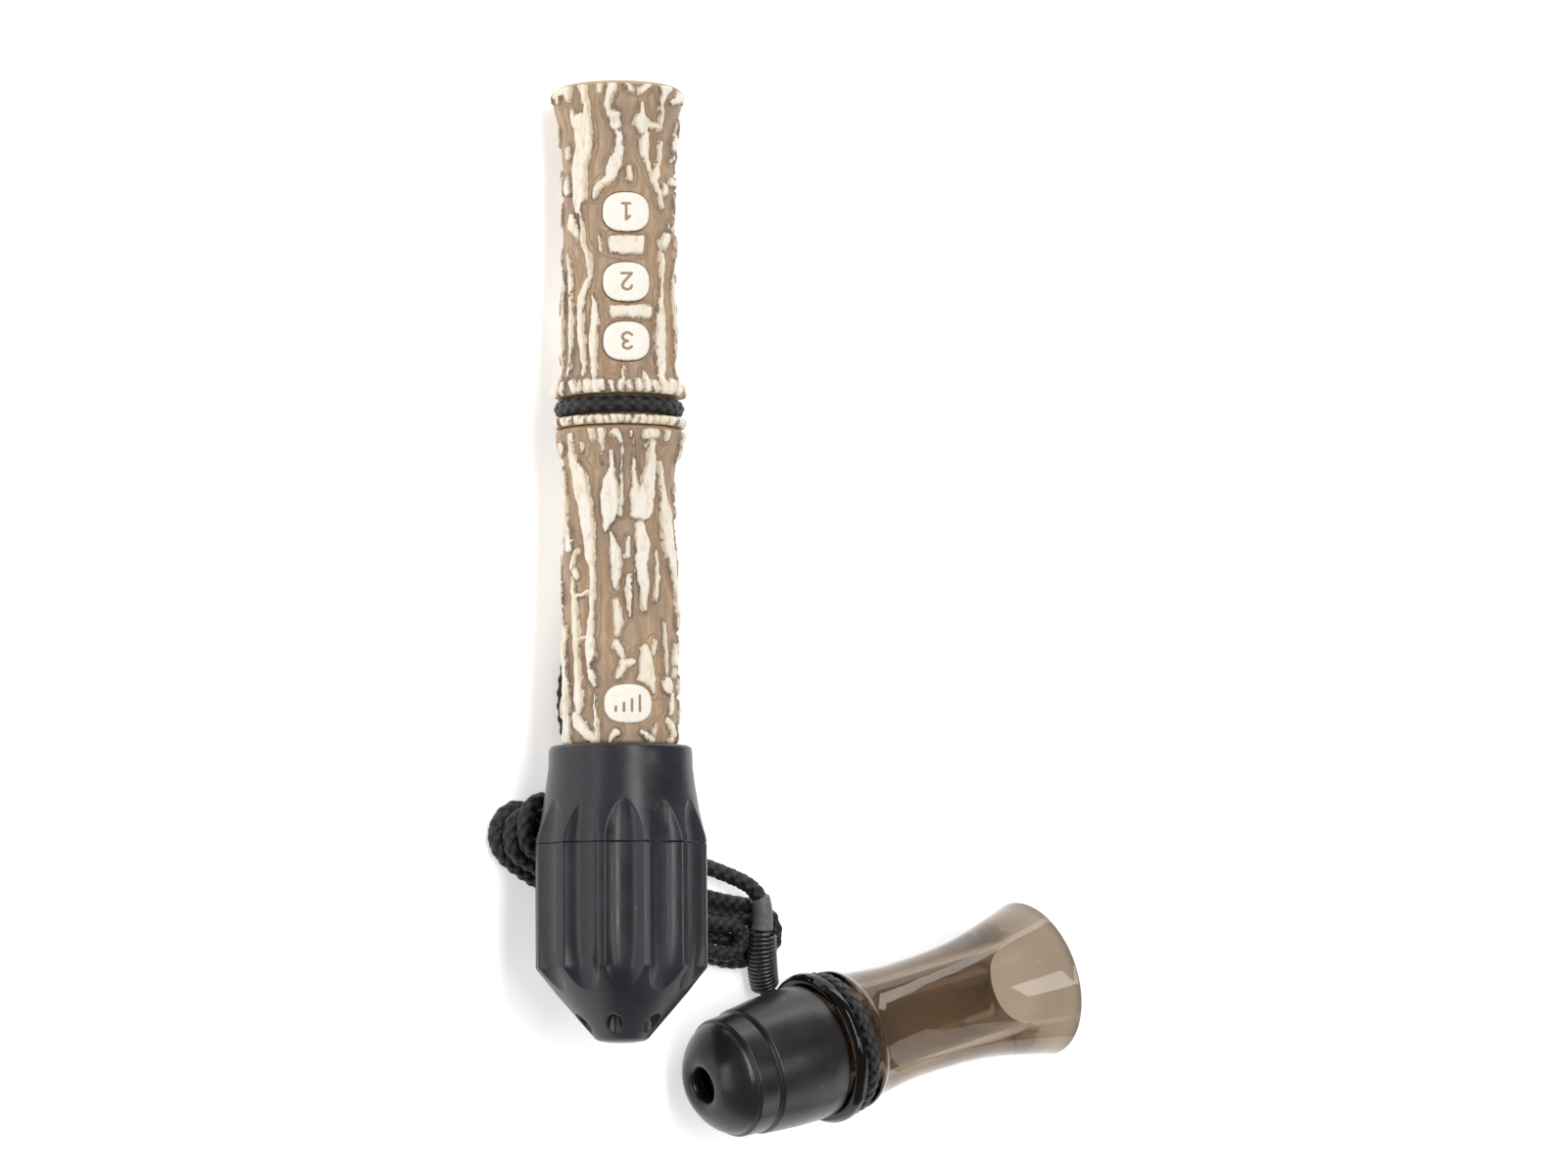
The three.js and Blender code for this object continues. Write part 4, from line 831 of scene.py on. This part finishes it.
def antler_barrel(name, before, skin, after, table, strokes, windows, flat_pads):
    """A barrel as one closed skin: rows of (radius, along) before and after the carved rows."""
    phi = np.linspace(0, 2 * math.pi, AROUND, endpoint=False)
    arc1 = (phi - FACE) * REF_R
    arc1 = (arc1 + ROUND / 2) % ROUND - ROUND / 2
    s = np.concatenate([np.arange(a, b, 0.23) for a, b in skin])
    keep = np.concatenate([np.full(len(np.arange(a, b, 0.23)), i) for i, (a, b) in enumerate(skin)])
    arc, along = np.meshgrid(arc1, s)
    arc, along = arc.copy(), along.copy()
    for c in windows:      # grid points near a window's edge are drawn onto the edge
        g = pad_level(arc, along, c, *WINDOW_HALF)
        near = np.abs(g - 1) < 0.034
        centre = -FACE * REF_R
        arc = np.where(near, centre + (arc - centre) / g, arc)
        along = np.where(near, c + (along - c) / g, along)
    sd, h, crest = relief(arc, along, strokes)
    lip = smoothstep((along - skin[0][0] - 0.30) / 0.55)      # the smooth bare lip of the first edge
    h = h * lip
    sd = np.where(lip < 0.5, 2.1, sd)
    for c in list(windows) + list(flat_pads):      # the smooth strip round a pad
        g = pad_level(arc, along, c, *WINDOW_HALF)
        calm = smoothstep((g - 1.02) / 0.16)
        h = h * calm - 0.10 * (1 - calm)
        sd = np.where(g < 1.10, np.maximum(sd, 0.9), sd)
    r = shape_at(table, along) + h
    ends = np.minimum.reduce([np.where(keep == i, np.minimum(s - a, b - 0.23 - s), 9) for i, (a, b) in enumerate(skin)])
    r -= (0.40 * np.clip(1 - ends / 0.6, 0, 1) ** 2)[:, None]
    blocks_r, blocks_s, blocks_sd, blocks_c = [], [], [], []

    def plain(rows):
        for rr, ss in rows:
            blocks_r.append(np.full((1, AROUND), rr))
            blocks_s.append(np.full((1, AROUND), ss))
            blocks_sd.append(np.full((1, AROUND), 2.6))
            blocks_c.append(np.zeros((1, AROUND)))

    plain(before)
    for i in range(len(skin)):
        blocks_r.append(r[keep == i])
        blocks_s.append(along[keep == i])
        blocks_sd.append(sd[keep == i])
        blocks_c.append(crest[keep == i])
        plain(after[i])
    R, S, D, C = (np.vstack(b) for b in (blocks_r, blocks_s, blocks_sd, blocks_c))
    angle = np.broadcast_to(phi, R.shape).copy()
    row = len(before)
    for i in range(len(skin)):
        n = int((keep == i).sum())
        angle[row:row + n] = arc[keep == i] / REF_R + FACE
        row += n + len(after[i])
    down = -(np.cos(angle) * GRUNT.x[2] + np.sin(angle) * GRUNT.y[2])      # the underside is worn to the table
    R = np.where(down > 0.3, np.minimum(R, (GRUNT.o[2] + S * GRUNT.z[2] - 0.03) / np.maximum(down, 0.3)), R)
    pts = GRUNT.at(R, angle, S).reshape(-1, 3)
    faces = grid_faces(len(R), AROUND, close_rows=True)
    if windows:
        a_all = (angle - FACE) * REF_R
        a_all = (a_all + ROUND / 2) % ROUND - ROUND / 2
        outer = (R > 10.5)
        gone = np.zeros(R.size, bool)
        for c in windows:
            g = pad_level(a_all, S, c, *WINDOW_HALF)
            gone |= ((g < 0.9985) & outer).ravel()
        faces = faces[~gone[faces].any(1)]
        used = np.unique(faces)
        remap = np.full(R.size, -1)
        remap[used] = np.arange(len(used))
        pts, faces, D, C = pts[used], remap[faces], D.ravel()[used], C.ravel()[used]
    ob = make_mesh(name, pts, faces, M_ANTLER, attrs={"sd": D.ravel(), "crest": C.ravel()})
    bm = bmesh.new()
    bm.from_mesh(ob.data)
    rim = [e for e in bm.edges if e.is_boundary]
    if rim:      # the windows' walls and floors
        made = bmesh.ops.extrude_edge_only(bm, edges=rim)["geom"]
        up, axis, origin = Vector(GRUNT.x), Vector(GRUNT.z), Vector(GRUNT.o) * MM
        for v in [g for g in made if isinstance(g, bmesh.types.BMVert)]:
            d = v.co - origin
            across = d - axis * d.dot(axis) - up * d.dot(up)
            v.co -= up * (d.dot(up) - math.sqrt((8.9 * MM) ** 2 - across.length_squared))
        low = [e for e in bm.edges if e.is_boundary]
        hubs = [bm.verts.new(origin + axis * c * MM + up * 8.9 * MM) for c in windows]
        for e in low:
            a, b = e.verts
            along_mm = ((a.co + b.co) / 2 - origin).dot(axis) / MM
            bm.faces.new((a, b, hubs[int(np.argmin([abs(along_mm - c) for c in windows]))]))
    bmesh.ops.recalc_face_normals(bm, faces=bm.faces)
    bm.to_mesh(ob.data)
    bm.free()
    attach(ob, "call_body")
    return ob


upper_strokes = [unrolled(st, UPPER_RIDGES and UPPER_SHAPE) for st in UPPER_RIDGES]
upper_strokes += beads(UPPER_BEADS, 61.9, 63.4, 31, UPPER_SHAPE)
upper_strokes += beads(LOWER_BEADS, 68.9, 69.9, 33, [(0, 12.9), (100, 12.9)])
upper_strokes += unseen_ridges(5.0, 60.0, 41, UPPER_SHAPE) + beads([], 0.8, 2.6, 35, UPPER_SHAPE)
UPPER_TABLE = UPPER_SHAPE + [(68.2, 12.9), (71, 12.95)]
upper = antler_barrel(
    "upper_barrel",
    [(8.6, 69.9), (8.6, 40.0), (8.6, 12.0), (8.6, 1.2), (8.75, 0.55), (9.2, 0.15), (10.2, 0.0), (11.6, 0.02)],
    [(0.25, 64.0), (68.45, 70.35)],
    [[(12.2, 64.02), (11.2, 64.06), (10.1, 64.08), (9.9, 64.3), (9.9, 68.1), (10.1, 68.34), (11.2, 68.36), (12.2, 68.4)],
     [(12.1, 70.36), (11.0, 70.38), (9.6, 70.38), (8.75, 70.3)]],
    UPPER_TABLE, upper_strokes, [p[0] for p in PADS], [])
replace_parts(upper, "mouth_barrel")

lower_strokes = [unrolled(st, LOWER_SHAPE) for st in LOWER_RIDGES]
lower_strokes += unseen_ridges(71.5, 134.8, 43, LOWER_SHAPE)
lower = antler_barrel(
    "lower_body",
    [(9.0, 158.0), (9.0, 120.0), (9.0, 81.0), (10.2, 80.6), (10.2, 71.0), (10.6, 70.56), (11.8, 70.50)],
    [(70.6, 135.3)],
    [[(11.25, 135.6), (11.25, 150.0), (11.25, 159.0), (10.0, 159.4), (9.2, 159.0)]],
    LOWER_SHAPE, lower_strokes, [], [VOLUME_PAD])
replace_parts(lower, "lower_barrel")

# ------------------------------------------------------------------- pads
NUMERALS = {
    "1": [[(-.6, .95), (.1, 1.65), (.1, -1.65)], [(-.65, -1.65), (.85, -1.65)]],
    "2": [[(-.95, .9), (-.8, 1.32), (-.4, 1.6), (.2, 1.65), (.72, 1.38), (.92, .9), (.75, .35), (.2, -.35), (-.95, -1.65), (1.05, -1.65)]],
    "3": [[(-.9, 1.2), (-.5, 1.55), (.15, 1.65), (.68, 1.4), (.85, .9), (.6, .35), (-.1, .12), (.62, -.1), (.98, -.6), (.82, -1.22), (.25, -1.62), (-.4, -1.58), (-.95, -1.2)]],
    "bars": [[(-2.55, -1.5), (-2.55, -.7)], [(-.95, -1.5), (-.95, .05)], [(.65, -1.5), (.65, .8)], [(2.25, -1.5), (2.25, 1.6)]],
}


def stroke_distance(x, y, lines):
    d = np.full(np.broadcast(x, y).shape, 9.0)
    for line in lines:
        for (ax, ay), (bx, by) in zip(line[:-1], line[1:]):
            u, v = bx - ax, by - ay
            t = np.clip(((x - ax) * u + (y - ay) * v) / (u * u + v * v), 0, 1)
            d = np.minimum(d, np.hypot(x - ax - t * u, y - ay - t * v))
    return d


def pad(name, body, centre_s, half, top_r, foot_r, lines, turned_over):
    """A rounded pad that follows the barrel's curve, with engraved strokes."""
    rings, count = 64, 216
    th = np.linspace(0, 2 * math.pi, count, endpoint=False)
    p = 2.5
    ex = np.sign(np.cos(th)) * np.abs(np.cos(th)) ** (2 / p) * half[0]
    ey = np.sign(np.sin(th)) * np.abs(np.sin(th)) ** (2 / p) * half[1]
    rows = []
    k = np.linspace(0.004, 1, rings) ** 0.92
    soft = 0.42
    inner = 1 - soft / min(half)
    for f in k:
        rows.append((f * inner, 0.0))
    for a in np.linspace(0, math.pi / 2, 7)[1:]:
        rows.append((inner + (1 - inner) * math.sin(a), soft * (1 - math.cos(a))))
    rows += [(1.0, 0.75), (1.0, top_r - foot_r - 0.15), (0.97, top_r - foot_r), (0.5, top_r - foot_r), (0.02, top_r - foot_r)]
    f = np.array([r[0] for r in rows])[:, None]
    down = np.array([r[1] for r in rows])[:, None]
    a, s = f * ex, f * ey
    sign = 1 if turned_over else -1
    d = stroke_distance(sign * a, sign * s, lines)
    cut = smoothstep((0.36 - d) / 0.20) * (down == 0)
    edge = (np.abs(a / half[0]) ** p + np.abs(s / half[1]) ** p) ** (1 / p)
    dome = 0.22 * edge ** 2
    swell = 0.03 * vnoise(a / 1.4, s / 1.4, 61)
    r = top_r - down - dome - 0.20 * cut + swell * (down == 0)
    pts = GRUNT.at(r, a / REF_R, centre_s + s).reshape(-1, 3)
    faces = grid_faces(len(rows), count).tolist()
    faces.append(list(range(count)))
    faces.append([len(rows) * count - 1 - i for i in range(count)])
    stain = np.clip((down - 0.25) / 0.6, 0, 1) * np.ones_like(a)
    worn = 0.75 * smoothstep((edge - 0.93) / 0.07) * smoothstep(vnoise(a * 0.9, s * 0.9, 77) * 1.5)
    ob = outward(make_mesh(name, pts, faces, M_BUTTON, attrs={"ink": np.maximum(np.maximum(cut, stain), worn).ravel()}))
    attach(ob, body)
    return ob


for centre, body, node, mark in PADS:
    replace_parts(pad(node + "_cap", body, centre, (4.92, 4.02), 12.1, 11.12, NUMERALS[mark], True), node)
pad("volume_label", "call_body", VOLUME_PAD, (5.0, 3.95), 12.1, 11.0, NUMERALS["bars"], False)


# -------------------------------------------------------- fluted rubber end
FLUTE_AT, FLUTE_HALF, FLUTE_DEEP = 6.1, 12.68, 1.75
FLOOR_S = [166, 173, 176, 178, 179.4, 180.4, 181.4, 182.4, 183.4, 184.2, 184.85]
FLOOR_R = [16.05, 16.04, 15.93, 15.76, 15.57, 15.37, 15.11, 14.77, 14.38, 14.06, 13.79]
VENT_AT, VENT_OUT, VENT_R = 18.7, 8.0, 1.7
SECTOR = np.concatenate([np.linspace(-15, -12.68, 7, endpoint=False), np.linspace(-12.68, 12.68, 35, endpoint=False),
                         np.linspace(12.68, 15, 6, endpoint=False)])
END_PHI = (FLUTE_AT + np.arange(12)[:, None] * 30 + SECTOR[None, :]).ravel()


def end_radius(base, s):
    """Radius of the rubber end with its flutes and vents, at every angle of END_PHI."""
    base, s = base[:, None], s[:, None]
    off = np.tile(SECTOR, 12)[None, :]
    t = np.clip((155 - s) / 8.6, 0, 1)
    q = np.clip((s - 180) / 4.85, 0, 0.9995)
    half = FLUTE_HALF * np.where(s < 166, np.maximum(np.clip(1 - t ** 2.2, 0, 1) ** 0.64, 0.02), np.sqrt(1 - q ** 2.2))
    low = np.interp(s, FLOOR_S, FLOOR_R)
    deep = np.where(s < 166, FLUTE_DEEP * np.maximum(1 - t ** 2.0, 0) ** 1.2, np.clip(base - low, 0, 3))
    f = np.where((s > 146.4) & (s < 184.85), np.maximum(deep * (1 - np.abs(off / half) ** 2.6), -9), -9)
    r = base - np.where(f > -4, 0.5 * (f + np.sqrt(f * f + 0.09 ** 2)), 0)
    turn = np.radians((END_PHI[None, :] - VENT_AT + 30) % 60 - 30)
    inside = VENT_R ** 2 - (VENT_OUT * np.sin(turn)) ** 2
    root = np.sqrt(np.clip(inside, 0, None))
    lo, hi = VENT_OUT * np.cos(turn) - root, VENT_OUT * np.cos(turn) + root
    cut = (inside > 0) & (np.abs(turn) < 0.5) & (r > lo) & (r < hi) & (s > 186)
    return np.where(cut, np.maximum(lo, base - 3.4), r)


def end_piece(name, before, outer, after, node):
    p = np.array(outer, float)
    r = end_radius(p[:, 0], p[:, 1])
    phi = np.radians(END_PHI)
    count = len(phi)
    R = np.vstack([np.full((1, count), a) for a, _ in before] + [r] + [np.full((1, count), a) for a, _ in after])
    S = np.concatenate([[b for _, b in before], p[:, 1], [b for _, b in after]])[:, None]
    pts = GRUNT.at(R, phi[None, :], np.broadcast_to(S, R.shape)).reshape(-1, 3)
    ob = outward(make_mesh(name, pts, grid_faces(len(R), count, close_rows=True), M_GRIP))
    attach(ob, "volume_end")
    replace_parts(ob, node)
    return ob


def dense(points, step, rounding):
    p = soften(points, rounding, 5, closed=False)
    d = np.concatenate([[0], np.cumsum(np.linalg.norm(np.diff(p, axis=0), axis=1))])
    n = int(d[-1] / step) + 2
    u = np.unique(np.concatenate([np.linspace(0, d[-1], n), d]))
    u = u[np.concatenate([[True], np.diff(u) > 0.04])]
    return np.stack([np.interp(u, d, p[:, 0]), np.interp(u, d, p[:, 1])], 1)


collar_outer = dense([(12.3, 135.15), (13.7, 135.05), (14.5, 135.5), (14.65, 136.6), (14.7, 139.5), (15.3, 144), (16, 148), (16.9, 151.3), (17.6, 153.6), (17.8, 154.99), (16.6, 155.0)], 0.3, [.45] * 9 + [.05, .05])
end_piece("rubber_collar", [(12.0, 150.0), (12.0, 137.0), (12.0, 135.5)], collar_outer, [(15.0, 155.0), (13.0, 154.95)], "volume_collar")
bell_outer = dense([(16.6, 155.06), (17.8, 155.07), (17.8, 180.2), (5.45, 194.5), (4.7, 195.0), (2.5, 195.35), (0.05, 195.45)], 0.28, [.05, .05, .5, .5, .5, .5, .5])
end_piece("rubber_bell", [(0.05, 190.5), (4.2, 190.0), (13.4, 179.0), (14.4, 176.0), (14.4, 157.0), (14.6, 155.3)], bell_outer, [], "volume_bell")

# ------------------------------------------------------------- bleat call
HORN = [(10.5, -17), (10.5, -2.2), (15.3, -2.2), (16.2, -.8), (16.2, .5), (12.2, .5), (12.2, 5.7), (15, 5.7), (15, 6.5), (14.3, 7.5), (13.6, 10),
        (12.9, 15), (12.35, 21), (12.3, 27), (12.5, 34), (13, 40), (13.9, 45.5), (15.1, 50.5), (16.3, 55.5), (17, 57.9), (16.2, 57.9), (14.6, 56.9),
        (12.0, 56.0), (9.9, 54.7), (9.1, 52.0), (8.8, 44), (8.8, 3.2), (8.2, 2.6), (8.2, -17)]
HORN_R = [.2, .3, .5, .5, .3, .3, .3, .3, .3, .8, 2, 3, 3, 3, 3, 3, 3, 3, 2, .35, .35, .9, .9, .5, 1.2, 2, .2, .2, .2]
horn = turned("smoke_horn", BLEAT, soften(HORN, HORN_R, 5), 224, M_SMOKE,
              ("thick", ([-3, 0.6, 1.2, 5.0, 8.5, 14.0, 26.0, 42.0, 50.0, 55.0, 57.0, 57.8], [1.0, 1.0, 0.93, 0.93, 0.40, 0.14, 0.0, 0.0, 0.18, 0.32, 0.42, 0.7])))
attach(horn, "bleat_call")
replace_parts(horn, "bleat_horn")
MOUTH = [(3.5, -29.2), (3.8, -30.5), (5.0, -31.2), (6.5, -31), (7.8, -30.2), (9.3, -29), (10.7, -27.5), (11.6, -26.1), (11.9, -25.2), (12.6, -24.7),
         (12.9, -20.2), (12.6, -19.9), (13.4, -19.3), (14.1, -12), (14.35, -6), (14.2, -2.5), (10.8, -2.5), (10.8, -17.4), (9, -17.4), (9, -26.4), (8.2, -27.2), (3.5, -27.8)]
MOUTH_R = [.4, .6, .8, 1, 1.2, 1.2, 1, .6, .25, .4, .3, .15, .5, 2, 1, .5, .2, .2, .2, .3, .3, .3]
mouth = turned("bleat_mouth", BLEAT, soften(MOUTH, MOUTH_R, 6), 224, M_MOUTH)
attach(mouth, "bleat_call")
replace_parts(mouth, "bleat_mouthpiece")

# ------------------------------------------- CAD pieces that stay as built
KEPT = {
    "button_membrane": M_SILICONE, "tone_board": M_BLACK, "reed": M_REED, "reed_wedge": M_CORK, "tone_board_seal": M_SEAL,
    "barrel_seal": M_SEAL, "volume_friction_ring": M_SEAL, "tone_chamber": M_BLACK, "bleat_tone_board": M_BLACK,
    "bleat_reed": M_REED, "bleat_reed_wedge": M_CORK, "bleat_seal": M_SEAL, "hank_tie": M_TIE,
}
for node, material in KEPT.items():
    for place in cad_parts[node].material_slots:
        place.material = material
